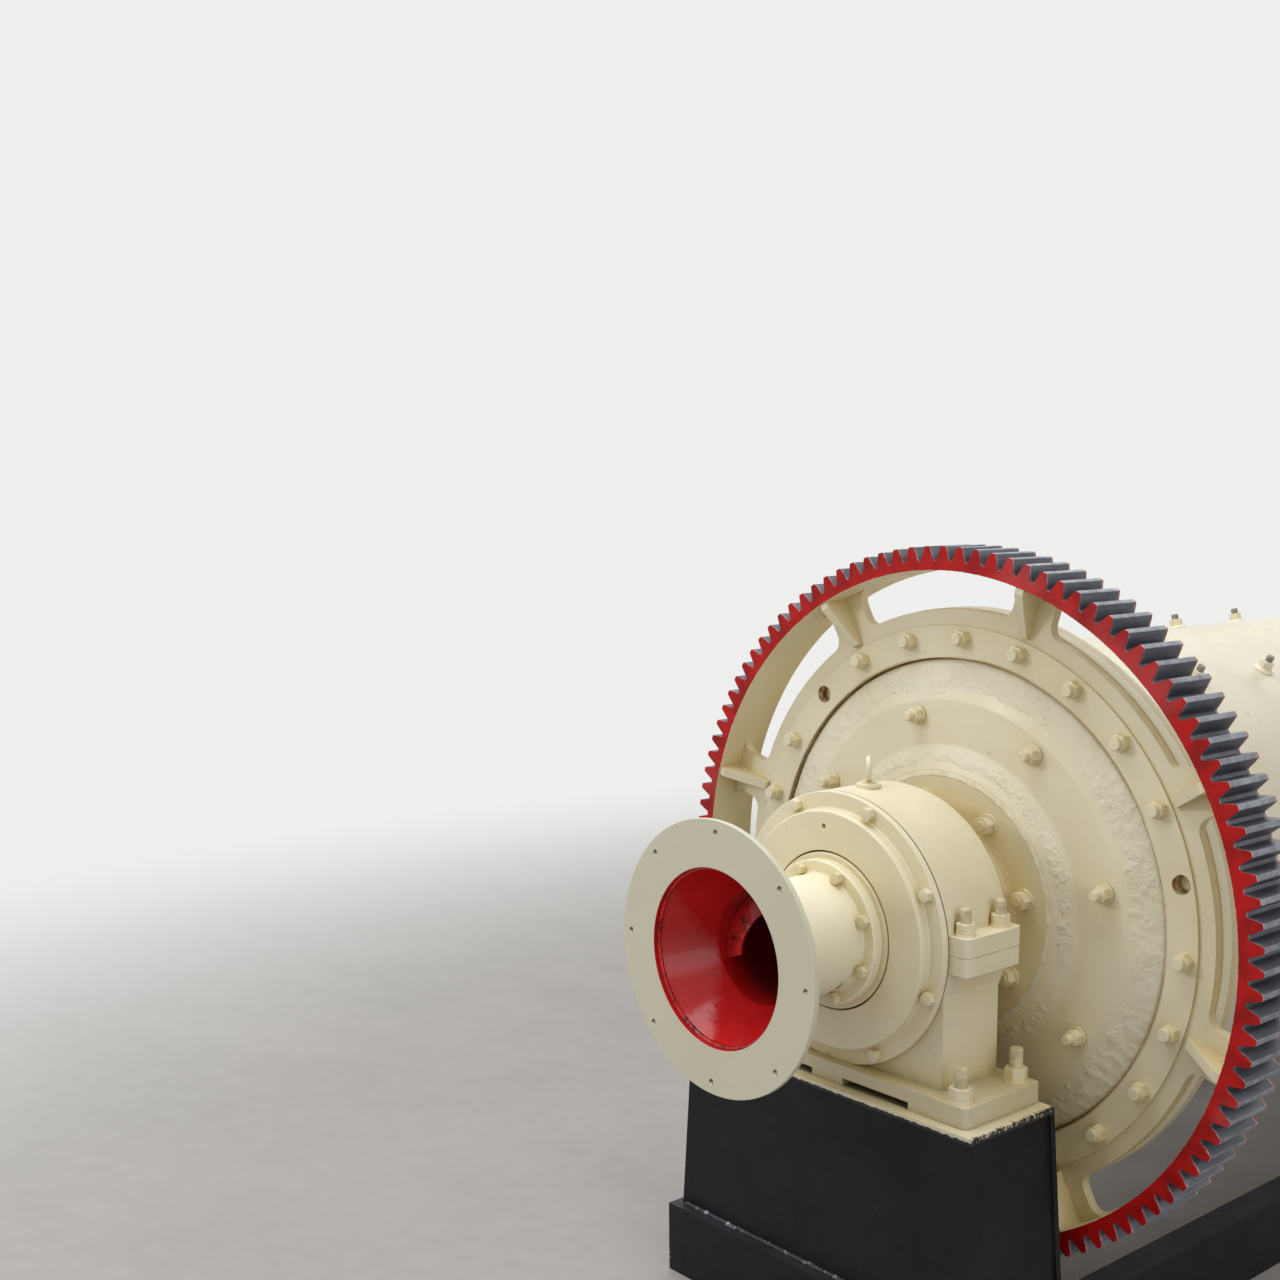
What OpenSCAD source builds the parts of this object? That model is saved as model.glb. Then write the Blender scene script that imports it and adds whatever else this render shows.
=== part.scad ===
// Small overflow ball mill, 900 mm by 1800 mm class, on its welded base frame.
// The origin is the middle of the base frame on the floor, with Z up.
// The mill axis runs along Y: the discharge end with the girth gear faces -Y
// and the feed end with the drum feeder faces +Y.
// Sections are drawn as profiles in radius and distance from the middle of the drum.

/* [Axis and drum] */
// Height of the mill axis above the floor
axis_h = 776; // [740:2:840]
// Length of the drum shell from flange face to flange face
shell_len = 1800; // [1500:10:2400]
// Outside diameter of the drum shell
shell_d = 940; // [900:2:960]
// Thickness of the drum shell plate
shell_wall = 18; // [10:1:24]
// Outside diameter of the shell and head flanges
flange_d = 1110; // [1090:2:1140]
// Thickness of each shell flange
shell_flange_t = 22; // [16:1:30]
// Angle at which the drum stands
drum_phase = 13.4; // [0:0.1:45]

/* [Flange bolting] */
// Diameter of the bolt circle shared by gear, heads and shell
bolt_circle_d = 1000; // [980:2:1010]
// Number of places on the bolt circle
bolt_places = 24; // [12:12:36]
// Diameter of the two clearance holes in the gear, over bolts that hold the head alone
sunk_hole_d = 34; // [28:1:36]

/* [Heads] */
// Thickness of the head flange
head_flange_t = 25; // [18:1:32]
// Diameter of the register that centres the girth gear
register_d = 923; // [900:1:930]
// Height of the register above the flange face
register_h = 15; // [8:1:20]
// Diameter where the outer cone meets the flat ring of the head
ring_outer_d = 770; // [720:2:800]
// Inside diameter of the flat ring
ring_inner_d = 600; // [570:2:640]
// Height of the flat ring above the flange face
ring_h = 42; // [34:1:50]
// Height of the middle boss above the flange face
boss_h = 58; // [54:1:70]
// Thickness of the cast head wall
head_wall = 34; // [24:1:38]

/* [Girth gear] */
// Number of gear teeth
gear_teeth = 110; // [90:2:120]
// Module of the gear teeth
gear_module = 12; // [11.8:0.1:12.4]
// Pressure angle of the teeth
pressure_angle = 20; // [14.5:0.5:25]
// Angle at which the middle of one tooth stands
tooth_phase = 1.1; // [0:0.1:3.2]
// Width of the gear across its face
gear_face = 116; // [100:2:140]
// Thickness of the gear rim under the teeth
rim_t = 17; // [12:1:24]
// Thickness of the gear web
web_t = 20; // [14:1:28]
// Outside diameter of the bolted ring of the gear
gear_ring_d = 1106; // [1090:2:1120]
// Diameter of the machined pad under the nuts
nut_pad_d = 1046; // [1040:2:1060]
// Height of the machined pad above the web
nut_pad_h = 5; // [2:1:8]
// Number of gear spokes
spokes = 8; // [4:4:12]
// Width of a gear spoke
spoke_w = 88; // [60:2:110]
// Corner radius of the windows between the spokes
window_r = 25; // [10:1:26]
// Thickness of the rib on a spoke
rib_t = 18; // [10:1:30]

/* [Trunnions] */
// Diameter of the trunnion journal
journal_d = 250; // [230:2:260]
// Diameter of the bore through the trunnion
trunnion_bore_d = 200; // [170:2:206]
// Diameter of the bolted trunnion flange
trunnion_flange_d = 490; // [460:2:496]
// Thickness of the trunnion flange
trunnion_flange_t = 22; // [16:1:30]
// Diameter of the trunnion neck between the head and the bearing
neck_d = 300; // [270:2:320]
// Diameter of the oil collars at the ends of the journal
collar_d = 282; // [270:1:286]

/* [Bearings] */
// Distance from the flange face of the head to the middle of the bearing
bearing_reach = 255; // [240:1:300]
// Outside diameter of the bearing barrel
barrel_d = 494; // [470:2:500]
// Length of the bearing barrel
barrel_len = 150; // [130:2:170]
// Outside diameter of the bearing ring
bearing_ring_d = 380; // [350:2:400]
// Width of the bearing ring
bearing_ring_w = 120; // [90:2:130]
// Width of the bearing housing below the barrel
column_w = 470; // [440:2:480]
// Width across the ears at the split line
ear_w = 568; // [556:2:600]
// Thickness of each ear
ear_t = 33; // [24:1:42]
// Distance from the holding-down studs to the side of the foot
foot_edge = 33; // [28:1:40]
// Depth of the bearing foot along the axis
foot_depth = 202; // [190:2:210]
// Thickness of the bearing foot
foot_t = 37; // [30:1:46]
// Distance that the foot's middle stands outward of the bearing's middle
foot_shift = 9; // [4:1:14]
// Height of the mill axis above the underside of the bearing foot
centre_height = 279; // [270:1:310]
// Height of the relief slots under the foot
relief_h = 14; // [5:1:18]
// Thickness of the bolted rim of the bearing covers
cover_t = 14; // [10:1:18]
// Diameter of the raised middle of the outer cover
cover_boss_d = 432; // [400:2:440]
// Height of the raised middle of the outer cover
cover_boss_h = 21; // [12:1:28]
// Gap that shows between the rim of the outer cover and the barrel
cover_joint = 1.4; // [0.8:0.2:2.4]
// Clearance of the outer cover over the bearing foot
cover_room = 1; // [0.5:0.5:2]
// Running gap between the collars and the covers
seal_gap = 3; // [2:0.5:5]
// Running gap between the journal and the bearing ring
journal_gap = 0.3; // [0.2:0.05:0.5]

/* [Bearing bolts] */
// Diameter of the cap studs
cap_stud_d = 20; // [16:1:22]
// Distance between the two cap studs of an ear
cap_stud_pitch = 92; // [70:1:96]
// Height of the cap studs above the ears
cap_stud_rise = 46; // [36:1:60]
// Diameter of the holding-down studs
foot_stud_d = 24; // [20:1:26]
// Distance between the holding-down studs along the axis
foot_stud_pitch = 148; // [140:1:152]
// Distance between the holding-down studs across the foot
foot_stud_span = 568; // [560:2:576]
// Height of the holding-down studs above the foot
foot_stud_rise = 59; // [50:1:70]

/* [Discharge trumpet] */
// Outside diameter of the discharge disc
disc_d = 476; // [440:2:520]
// Thickness of the discharge disc
disc_t = 10; // [6:1:16]
// Diameter of the opening in the discharge disc
mouth_d = 310; // [280:2:340]
// Diameter of the hole circle in the discharge disc
disc_circle_d = 434; // [400:2:436]
// Number of holes in the discharge disc
disc_holes = 8; // [4:1:12]
// Diameter of the holes in the discharge disc
disc_hole_d = 11; // [9:1:18]
// Length of the trumpet from the trunnion to the face of the disc
trumpet_len = 272; // [240:2:320]
// Length of the cone behind the disc
cone_len = 104; // [90:2:140]
// Thickness of the trumpet and neck wall
pipe_wall = 6; // [5:0.5:9]
// Diameter of the bolted neck flange
neck_flange_d = 262; // [254:1:276]
// Thickness of the bolted neck flange
neck_flange_t = 20; // [14:1:24]
// Height of the spiral flight in the discharge bore
flight_h = 41; // [20:1:44]
// Thickness of the spiral flight
flight_t = 9; // [6:1:12]
// Pitch of the spiral flight
flight_pitch = 190; // [150:5:260]
// Angle from the first bolt place to the flight's outer end
flight_end_turn = 188; // [0:1:359]

/* [Drum feeder] */
// Outside diameter of the drum feeder
feeder_d = 740; // [700:10:780]
// Length of the drum feeder
feeder_len = 190; // [160:5:240]
// Plate thickness of the drum feeder
feeder_wall = 8; // [6:1:12]
// Diameter of the feed opening
feed_mouth_d = 300; // [240:10:340]
// Distance from the trunnion to the drum feeder
feeder_reach = 82; // [70:1:130]

/* [Base frame] */
// Height of the base frame channels
base_h = 140; // [120:2:160]
// Width of the channel flanges
channel_w = 58; // [50:1:70]
// Thickness of the channel web
channel_web = 8; // [6:1:10]
// Thickness of the channel flanges
channel_flange = 10; // [8:1:12]
// Width of the base frame
base_w = 784; // [776:2:840]
// Distance from the pedestal to the end of the frame
end_margin = 23; // [18:1:40]

/* [Pedestals] */
// Width of the pedestal at its top
pedestal_top_w = 694; // [680:2:710]
// Width of the pedestal at its foot
pedestal_foot_w = 750; // [730:2:760]
// Distance that the pedestal reaches past the bearing foot at the outer end
pedestal_lip = 21; // [12:1:40]
// Plate thickness of the pedestal
plate_t = 12; // [8:1:16]
// Distance that the side plates stand back from the end plates
plate_step = 5; // [2:1:8]
// Thickness of the sole plate under the bearing
sole_t = 12; // [8:1:20]

/* [Hidden] */

cream = "#e9e0bf";
black = "#26282c";
red = "#b3161c";
steel = "#8f959b";
pale = "#c3c6b2";

// Stations along the axis, measured outward from the middle of the drum
head_inner = shell_len / 2;
flange_in = head_inner - shell_flange_t;
head_face = head_inner + head_flange_t;
boss_face = head_face + boss_h;
trunnion_flange_face = boss_face + 2;
trunnion_flange_back = trunnion_flange_face - trunnion_flange_t;
bearing_mid = head_face + bearing_reach;
barrel_outer = bearing_mid + barrel_len / 2;
barrel_inner = bearing_mid - barrel_len / 2;
cover_outer = barrel_outer + cover_t + cover_boss_h;
cover_inner = barrel_inner - cover_t;
trunnion_end = cover_outer + 3;
neck_stop = cover_inner - 6;
disc_face = trunnion_end + trumpet_len;
disc_back = disc_face - disc_t;
cone_back = disc_face - cone_len;
feeder_near = trunnion_end + feeder_reach;
feeder_far = feeder_near + feeder_len;
foot_mid = bearing_mid + foot_shift;
eye_out = 9;
foot_w = foot_stud_span + 2 * foot_edge;
foot_outer = foot_mid + foot_depth / 2;
foot_inner = foot_mid - foot_depth / 2;
pedestal_outer = foot_outer + pedestal_lip;
pedestal_inner = foot_inner;
base_half_len = pedestal_outer + end_margin;

// Heights above the floor
foot_under = axis_h - centre_height;
foot_top = foot_under + foot_t;
pedestal_top = foot_under - sole_t;

// Radii
shell_r = shell_d / 2;
shell_in = shell_r - shell_wall;
bore_r = trunnion_bore_d / 2;
pipe_r = bore_r + pipe_wall;
collar_r = collar_d / 2;
cover_bore_r = collar_r + seal_gap;
barrel_r = barrel_d / 2;
journal_r = journal_d / 2;
spigot_r = journal_r + 5;
column_depth = barrel_len - 4;
ear_depth = barrel_len - 3;
cap_stud_x = ear_w / 2 - 27;

// Gear radii
pitch_r = gear_module * gear_teeth / 2;
base_r = pitch_r * cos(pressure_angle);
tip_r = pitch_r + gear_module;
root_r = pitch_r - 1.25 * gear_module;
rim_r = root_r - rim_t;
web_front = head_face + web_t;
gear_front = head_face + gear_face * 0.69;
gear_back = gear_front - gear_face;

// Shapes that several pieces share

// Turns a drawing so that its Z points outward at one end of the mill
module outward(end) {
    translate([0, 0, axis_h]) rotate([90, 0, end == "feed" ? 180 : 0]) children();
}

// One corner of an outline, rounded to radius r with n steps
function unit(v) = v / norm(v);
function corner(a, b, c, r, n) =
    r <= 0 ? [b] :
    let (u = unit(a - b), v = unit(c - b), half = acos(u * v) / 2,
         m = b + unit(u + v) * r / sin(half),
         s = b + u * r / tan(half) - m, e = b + v * r / tan(half) - m,
         from = atan2(s.y, s.x),
         turn = (atan2(e.y, e.x) - from + 540) % 360 - 180)
    [for (i = [0:n]) m + r * [cos(from + turn * i / n), sin(from + turn * i / n)]];

// An outline given as points [x, y, radius], with its corners rounded
function rounded(pts, n = 4) =
    let (k = len(pts), xy = [for (p = pts) [p.x, p.y]])
    [for (i = [0:k - 1])
        each corner(xy[(i + k - 1) % k], xy[i], xy[(i + 1) % k],
                    len(pts[i]) > 2 ? pts[i][2] : 0, n)];

// A turned ring between two radii and two stations
module ring(r_in, r_out, z_in, z_out) {
    translate([0, 0, z_in]) linear_extrude(z_out - z_in) difference() {
        circle(r_out, $fn = 144);
        circle(r_in, $fn = 144);
    }
}

// Holes on a circle, cut along the axis
module hole_circle(circle_r, hole_d, count, phase, z_in, z_out) {
    for (i = [0:count - 1])
        rotate(phase + i * 360 / count) translate([circle_r, 0, z_in])
            cylinder(d = hole_d, h = z_out - z_in, $fn = 32);
}

// The two places on the flange bolt circle where the gear clears a bolt of the head
module sunk_holes(z_in, z_out) {
    for (place = [0, bolt_places / 3])
        rotate(drum_phase + place * 360 / bolt_places) translate([bolt_circle_d / 2, 0, z_in])
            cylinder(d = sunk_hole_d, h = z_out - z_in, $fn = 32);
}

// Washer with a hexagon nut across flats 1.5 times its thread
module nut(thread_d) {
    cylinder(d = thread_d * 1.8, h = 3, $fn = 48);
    translate([0, 0, 2]) cylinder(d = thread_d * 1.5 / cos(30), h = thread_d * 0.9 + 1, $fn = 6);
}

// Base frame

// Section of a channel with its web on x = 0 and its toes towards -x
module channel_section() {
    polygon([
        [0, 0], [-channel_w, 0], [-channel_w, channel_flange], [-channel_web, channel_flange],
        [-channel_web, base_h - channel_flange], [-channel_w, base_h - channel_flange],
        [-channel_w, base_h], [0, base_h]
    ]);
}

// Long side channel, mitred into the end beams
module rail() {
    color(black) intersection() {
        translate([base_w / 2, base_half_len, 0]) rotate([90, 0, 0])
            linear_extrude(2 * base_half_len) channel_section();
        linear_extrude(base_h) polygon([
            [base_w / 2, -base_half_len], [base_w / 2, base_half_len],
            [base_w / 2 - channel_w, base_half_len - channel_w],
            [base_w / 2 - channel_w, channel_w - base_half_len]
        ]);
    }
}

// End channel at +Y, mitred into the rails
module end_beam() {
    color(black) intersection() {
        translate([-base_w / 2, base_half_len, 0]) rotate([90, 0, 90])
            linear_extrude(base_w) channel_section();
        linear_extrude(base_h) polygon([
            [-base_w / 2, base_half_len], [base_w / 2, base_half_len],
            [base_w / 2 - channel_w, base_half_len - channel_w],
            [channel_w - base_w / 2, base_half_len - channel_w]
        ]);
    }
}

// Channel between the rails, under the inner wall of a pedestal at +Y
module cross_beam() {
    span = base_w - 2 * channel_w;
    color(black) translate([span / 2, pedestal_inner, 0]) rotate([90, 0, -90])
        linear_extrude(span) channel_section();
}

module left_rail() { mirror([1, 0, 0]) rail(); }
module right_rail() { rail(); }
module discharge_end_beam() { rotate([0, 0, 180]) end_beam(); }
module feed_end_beam() { end_beam(); }
module discharge_cross_beam() { rotate([0, 0, 180]) cross_beam(); }
module feed_cross_beam() { cross_beam(); }

// Pedestals

// Outline of an end plate, set in from its edges by the given step
module pedestal_outline(step) {
    polygon([
        [-pedestal_foot_w / 2 + step, base_h], [pedestal_foot_w / 2 - step, base_h],
        [pedestal_top_w / 2 - step, pedestal_top], [-pedestal_top_w / 2 + step, pedestal_top]
    ]);
}

// Welded box of two end plates and two leaning side plates, at the feed end
module pedestal() {
    depth = pedestal_outer - pedestal_inner;
    color(black) translate([0, pedestal_outer, 0]) rotate([90, 0, 0]) {
        linear_extrude(plate_t) pedestal_outline(0);
        translate([0, 0, depth - plate_t]) linear_extrude(plate_t) pedestal_outline(0);
        linear_extrude(depth) difference() {
            pedestal_outline(plate_step);
            pedestal_outline(plate_step + plate_t);
        }
    }
}

// Machined plate between the pedestal and the bearing foot, at the feed end
module sole_plate() {
    color(cream) difference() {
        translate([-pedestal_top_w / 2, pedestal_inner, pedestal_top])
            cube([pedestal_top_w, pedestal_outer - pedestal_inner, sole_t]);
        foot_stud_places() translate([0, 0, pedestal_top - 1])
            cylinder(d = foot_stud_d + 2, h = sole_t + 2, $fn = 32);
    }
}

module discharge_pedestal() { rotate([0, 0, 180]) pedestal(); }
module feed_pedestal() { pedestal(); }
module discharge_sole_plate() { rotate([0, 0, 180]) sole_plate(); }
module feed_sole_plate() { sole_plate(); }

// Bearings, drawn at the feed end

module foot_stud_places() {
    for (x = [-1, 1], y = [-1, 1])
        translate([x * foot_stud_span / 2, foot_mid + y * foot_stud_pitch / 2, 0]) children();
}

module cap_stud_places() {
    for (x = [-1, 1], y = [-1, 1])
        translate([x * cap_stud_x, bearing_mid + y * cap_stud_pitch / 2, 0]) children();
}

// Half of the turned barrel, with rounded outer edges
module barrel_half() {
    rotate_extrude(angle = 180, $fn = 120) polygon(rounded([
        [bearing_ring_d / 2, barrel_inner], [barrel_r, barrel_inner, 7],
        [barrel_r, barrel_outer, 2], [bearing_ring_d / 2, barrel_outer]
    ]));
}

// Ear on each side of the split line, from height z to z + ear_t
module ears(z) {
    near = bearing_mid - ear_depth / 2;
    far = bearing_mid + ear_depth / 2;
    for (side = [0, 1]) mirror([side, 0, 0]) translate([0, 0, z]) linear_extrude(ear_t)
        polygon(rounded([
            [barrel_r - 16, near], [ear_w / 2, near, 12], [ear_w / 2, far, 12], [barrel_r - 16, far]
        ]));
}

// Holes for the cap studs, blind in the lower ears
module cap_stud_holes() {
    cap_stud_places() translate([0, 0, axis_h - ear_t + 7])
        cylinder(d = cap_stud_d + 2, h = 2 * ear_t, $fn = 32);
}

module bearing_base() {
    slot_w = foot_w * 0.243;
    color(cream) difference() {
        union() {
            // Column with the lower half of the barrel
            difference() {
                union() {
                    translate([-column_w / 2, bearing_mid - column_depth / 2, foot_top - 1])
                        cube([column_w, column_depth, centre_height - foot_t + 1]);
                    outward("feed") rotate(180) barrel_half();
                    ears(axis_h - ear_t);
                }
                outward("feed") translate([0, 0, barrel_inner - 1])
                    cylinder(d = bearing_ring_d, h = barrel_len + 2, $fn = 120);
                translate([-foot_w, bearing_mid - barrel_len, axis_h])
                    cube([2 * foot_w, 2 * barrel_len, barrel_r]);
            }
            translate([0, 0, foot_under]) linear_extrude(foot_t) polygon(rounded([
                [-foot_w / 2, foot_inner, 10], [foot_w / 2, foot_inner, 10],
                [foot_w / 2, foot_outer, 10], [-foot_w / 2, foot_outer, 10]
            ]));
        }
        // Relief slots leave pads in the middle and at both ends of the foot
        for (x = [-1, 1])
            translate([x * foot_w * 0.181 - slot_w / 2, foot_inner - 1, foot_under - 1])
                cube([slot_w, foot_depth + 2, relief_h + 1]);
        foot_stud_places() translate([0, 0, foot_under - 1])
            cylinder(d = foot_stud_d + 2, h = foot_t + 2, $fn = 32);
        cap_stud_holes();
        // Room for the rim of the outer cover in the foot
        outward("feed") translate([0, 0, barrel_outer])
            cylinder(r = barrel_r + cover_room, h = cover_t + cover_room, $fn = 120);
    }
}

module bearing_cap() {
    color(cream) difference() {
        union() {
            outward("feed") barrel_half();
            difference() {
                ears(axis_h);
                outward("feed") translate([0, 0, barrel_inner - 1])
                    cylinder(r = barrel_r - 10, h = barrel_len + 2, $fn = 120);
            }
            // Seat of the lifting eye
            translate([0, bearing_mid + eye_out, axis_h + barrel_r - 6])
                cylinder(d = 34, h = 10, $fn = 48);
        }
        cap_stud_holes();
        // Spot faces that clear the washers and nuts beside the barrel
        cap_stud_places() translate([0, 0, axis_h + ear_t])
            cylinder(r = cap_stud_d * 0.9 + 1, h = cap_stud_rise, $fn = 48);
    }
}

module bearing_ring() {
    color(steel) outward("feed")
        ring(journal_r + journal_gap, bearing_ring_d / 2,
             bearing_mid - bearing_ring_w / 2, bearing_mid + bearing_ring_w / 2);
}

// Outer cover with its raised middle and a grease hole near the top
module outer_cover() {
    color(cream) outward("feed") difference() {
        rotate_extrude($fn = 120) polygon(rounded([
            [cover_bore_r, barrel_outer], [barrel_r - 7, barrel_outer],
            [barrel_r - 7, barrel_outer + cover_joint], [barrel_r, barrel_outer + cover_joint],
            [barrel_r, barrel_outer + cover_t, 2],
            [cover_boss_d / 2, barrel_outer + cover_t, 4],
            [cover_boss_d / 2, cover_outer, 4], [cover_bore_r, cover_outer, 1]
        ]));
        rotate(94) translate([cover_boss_d / 2 - 28, 0, barrel_outer - 1])
            cylinder(d = 9, h = cover_t + cover_boss_h + 2, $fn = 24);
    }
}

module inner_cover() {
    color(cream) outward("feed") ring(cover_bore_r, barrel_r - 7, cover_inner, barrel_inner);
}

// Studs set in the lower ears, each with its nut on the cap
module cap_bolts() {
    start = axis_h - ear_t + 9;
    color(cream) cap_stud_places() {
        translate([0, 0, start])
            cylinder(d = cap_stud_d, h = axis_h + ear_t + cap_stud_rise - start, $fn = 32);
        translate([0, 0, axis_h + ear_t]) nut(cap_stud_d);
    }
}

// Holding-down studs set in the sole plate, each with its nut on the foot
module foot_bolts() {
    start = pedestal_top + 0.3;
    color(cream) foot_stud_places() {
        translate([0, 0, start])
            cylinder(d = foot_stud_d, h = foot_top + foot_stud_rise - start, $fn = 32);
        translate([0, 0, foot_top]) nut(foot_stud_d);
    }
}

// Forged eye bolt on the cap
module lifting_eye() {
    eye_r = 19;
    color(cream) translate([0, bearing_mid + eye_out, axis_h + barrel_r + 4]) rotate([0, 0, -47]) {
        cylinder(d = 26, h = 7, $fn = 48);
        cylinder(d = 12, h = 12, $fn = 32);
        translate([0, 0, eye_r + 10]) rotate([90, 0, 0]) rotate_extrude($fn = 48)
            translate([eye_r, 0]) circle(d = 10, $fn = 24);
    }
}

module discharge_bearing_base() { rotate([0, 0, 180]) bearing_base(); }
module feed_bearing_base() { bearing_base(); }
module discharge_bearing_cap() { rotate([0, 0, 180]) bearing_cap(); }
module feed_bearing_cap() { bearing_cap(); }
module discharge_bearing_ring() { rotate([0, 0, 180]) bearing_ring(); }
module feed_bearing_ring() { bearing_ring(); }
module discharge_outer_cover() { rotate([0, 0, 180]) outer_cover(); }
module feed_outer_cover() { outer_cover(); }
module discharge_inner_cover() { rotate([0, 0, 180]) inner_cover(); }
module feed_inner_cover() { inner_cover(); }
module discharge_cap_bolts() { rotate([0, 0, 180]) cap_bolts(); }
module feed_cap_bolts() { cap_bolts(); }
module discharge_foot_bolts() { rotate([0, 0, 180]) foot_bolts(); }
module feed_foot_bolts() { foot_bolts(); }
module discharge_lifting_eye() { rotate([0, 0, 180]) lifting_eye(); }
module feed_lifting_eye() { lifting_eye(); }

// Drum

module drum_shell() {
    color(cream) outward("discharge") ring(shell_in, shell_r, -shell_len / 2, shell_len / 2);
}

// Flange ring welded round the end of the shell
module shell_flange() {
    weld = 8;
    rotate_extrude($fn = 180) polygon(rounded([
        [shell_r, flange_in - weld], [shell_r + weld, flange_in], [flange_d / 2, flange_in, 2],
        [flange_d / 2, head_inner], [shell_r, head_inner]
    ]));
}

module discharge_shell_flange() { color(cream) outward("discharge") shell_flange(); }

module feed_shell_flange() { color(cream) outward("feed") shell_flange(); }

// Dished head, cast with its flange
module head() {
    outer = rounded([
        [flange_d / 2, head_inner], [flange_d / 2, head_face, 2],
        [register_d / 2, head_face], [register_d / 2, head_face + register_h, 8],
        [ring_outer_d / 2, head_face + ring_h - 3, 20], [ring_inner_d / 2, head_face + ring_h, 24],
        [trunnion_flange_d / 2 + 8, boss_face, 6], [trunnion_flange_d / 2 + 1, boss_face],
        [trunnion_flange_d / 2 + 1, trunnion_flange_back], [spigot_r + 0.3, trunnion_flange_back],
        [spigot_r + 0.3, head_face + boss_h - trunnion_flange_t - head_wall, 4],
        [ring_outer_d / 2 - 20, head_face + ring_h - head_wall - 6, 20],
        [shell_in - 6, head_inner, 2]
    ]);
    rotate_extrude($fn = 180) polygon(outer);
}

module discharge_head() { color(cream) outward("discharge") head(); }

module feed_head() { color(cream) outward("feed") head(); }

// Girth gear

// Involute polar angle at radius r, in degrees
function involute(r) = let (a = acos(base_r / r)) tan(a) * 180 / PI - a;

// Half the angle that a tooth fills at radius r
function tooth_half(r) = 90 / gear_teeth + involute(pitch_r) - involute(r);

function polar(r, a) = [r * cos(a), r * sin(a)];

// Outline of the toothed rim: each tooth has two involute flanks and a root fillet
function gear_outline() =
    let (fillet = 0.3 * gear_module, bevel = 0.07 * gear_module,
         foot_r = root_r + fillet, edge_r = tip_r - bevel,
         flank = [foot_r, pitch_r - gear_module * 0.4, pitch_r + gear_module * 0.3, edge_r],
         root_half = tooth_half(foot_r) + fillet * 0.5 / root_r * 180 / PI,
         tip_half = tooth_half(tip_r) - bevel / tip_r * 180 / PI)
    [for (i = [0:gear_teeth - 1]) let (mid = i * 360 / gear_teeth) each [
        polar(root_r, mid - root_half),
        for (r = flank) polar(r, mid - tooth_half(r)),
        polar(tip_r, mid - tip_half),
        polar(tip_r, mid + tip_half),
        for (k = [len(flank) - 1:-1:0]) polar(flank[k], mid + tooth_half(flank[k])),
        polar(root_r, mid + root_half)
    ]];

// Outline of one window between two spokes, centred on the x axis
function window_outline() =
    let (steps = 8, inner = gear_ring_d / 2, outer = (rim_r + 1) / cos(180 / spokes / steps),
         half_in = 180 / spokes - asin(spoke_w / 2 / inner),
         half_out = 180 / spokes - asin(spoke_w / 2 / outer))
    rounded([
        for (i = [0:steps]) let (a = -half_in + 2 * half_in * i / steps)
            [inner * cos(a), inner * sin(a), i % steps == 0 ? window_r : 0],
        for (i = [0:steps]) let (a = half_out - 2 * half_out * i / steps)
            [outer * cos(a), outer * sin(a), i % steps == 0 ? window_r : 0]
    ], 5);

// Rib on the outer face of a spoke, from the bolted ring up to the face of the rim
module spoke_rib() {
    nose = gear_ring_d / 2 - 21.5;
    translate([0, rib_t / 2, 0]) rotate([90, 0, 0]) linear_extrude(rib_t) polygon(rounded([
        [nose, web_front - 1], [rim_r + 1, web_front - 1],
        [rim_r + 1, gear_front - 3], [rim_r - 12, gear_front - 3], [nose, web_front + 9, 6]
    ]));
}

module girth_gear() {
    color(red) outward("discharge") difference() {
        union() {
            // Toothed rim
            translate([0, 0, gear_back]) linear_extrude(gear_face) difference() {
                rotate(tooth_phase) polygon(gear_outline());
                circle(rim_r, $fn = 180);
            }
            // Web with its windows
            translate([0, 0, head_face]) linear_extrude(web_t) difference() {
                circle(rim_r + 1, $fn = 180);
                circle(d = register_d + 1, $fn = 180);
                for (i = [0:spokes - 1])
                    rotate(drum_phase + 15 + (i + 0.5) * 360 / spokes) polygon(window_outline());
            }
            ring(register_d / 2 + 0.5, nut_pad_d / 2, web_front - 1, web_front + nut_pad_h);
            for (i = [0:spokes - 1]) rotate(drum_phase + 15 + i * 360 / spokes) spoke_rib();
        }
        sunk_holes(head_face - 1, web_front + nut_pad_h + 1);
    }
}

// Trunnions and what is bolted to them

module trunnion() {
    rotate_extrude($fn = 120) polygon(rounded([
        [bore_r, trunnion_flange_back - 24], [spigot_r, trunnion_flange_back - 24, 2],
        [spigot_r, trunnion_flange_back], [trunnion_flange_d / 2, trunnion_flange_back],
        [trunnion_flange_d / 2, trunnion_flange_face, 3],
        [neck_d / 2, trunnion_flange_face, 26], [neck_d / 2, neck_stop, 4],
        [collar_r, neck_stop], [collar_r, barrel_inner + 4],
        [journal_r, barrel_inner + 4, 3], [journal_r, barrel_outer + 4, 3],
        [collar_r, barrel_outer + 4], [collar_r, trunnion_end, 3], [bore_r, trunnion_end]
    ]));
}

module discharge_trunnion() { color(cream) outward("discharge") trunnion(); }
module feed_trunnion() { color(cream) outward("feed") trunnion(); }

// Bolted neck, trumpet cone and disc
module discharge_trumpet() {
    color(pale) outward("discharge") difference() {
        rotate_extrude($fn = 120) polygon(rounded([
            [bore_r, trunnion_end], [neck_flange_d / 2, trunnion_end],
            [neck_flange_d / 2, trunnion_end + neck_flange_t, 3],
            [pipe_r, trunnion_end + neck_flange_t, 6], [pipe_r, cone_back - 6, 12],
            [mouth_d / 2 + pipe_wall, disc_back], [disc_d / 2, disc_back, 1],
            [disc_d / 2, disc_face, 1], [mouth_d / 2, disc_face, 1], [mouth_d / 2, disc_back + 1],
            [bore_r, cone_back, 8]
        ]));
        hole_circle(disc_circle_d / 2, disc_hole_d, disc_holes, drum_phase - 15,
                    disc_back - 1, disc_face + 1);
    }
}

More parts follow.
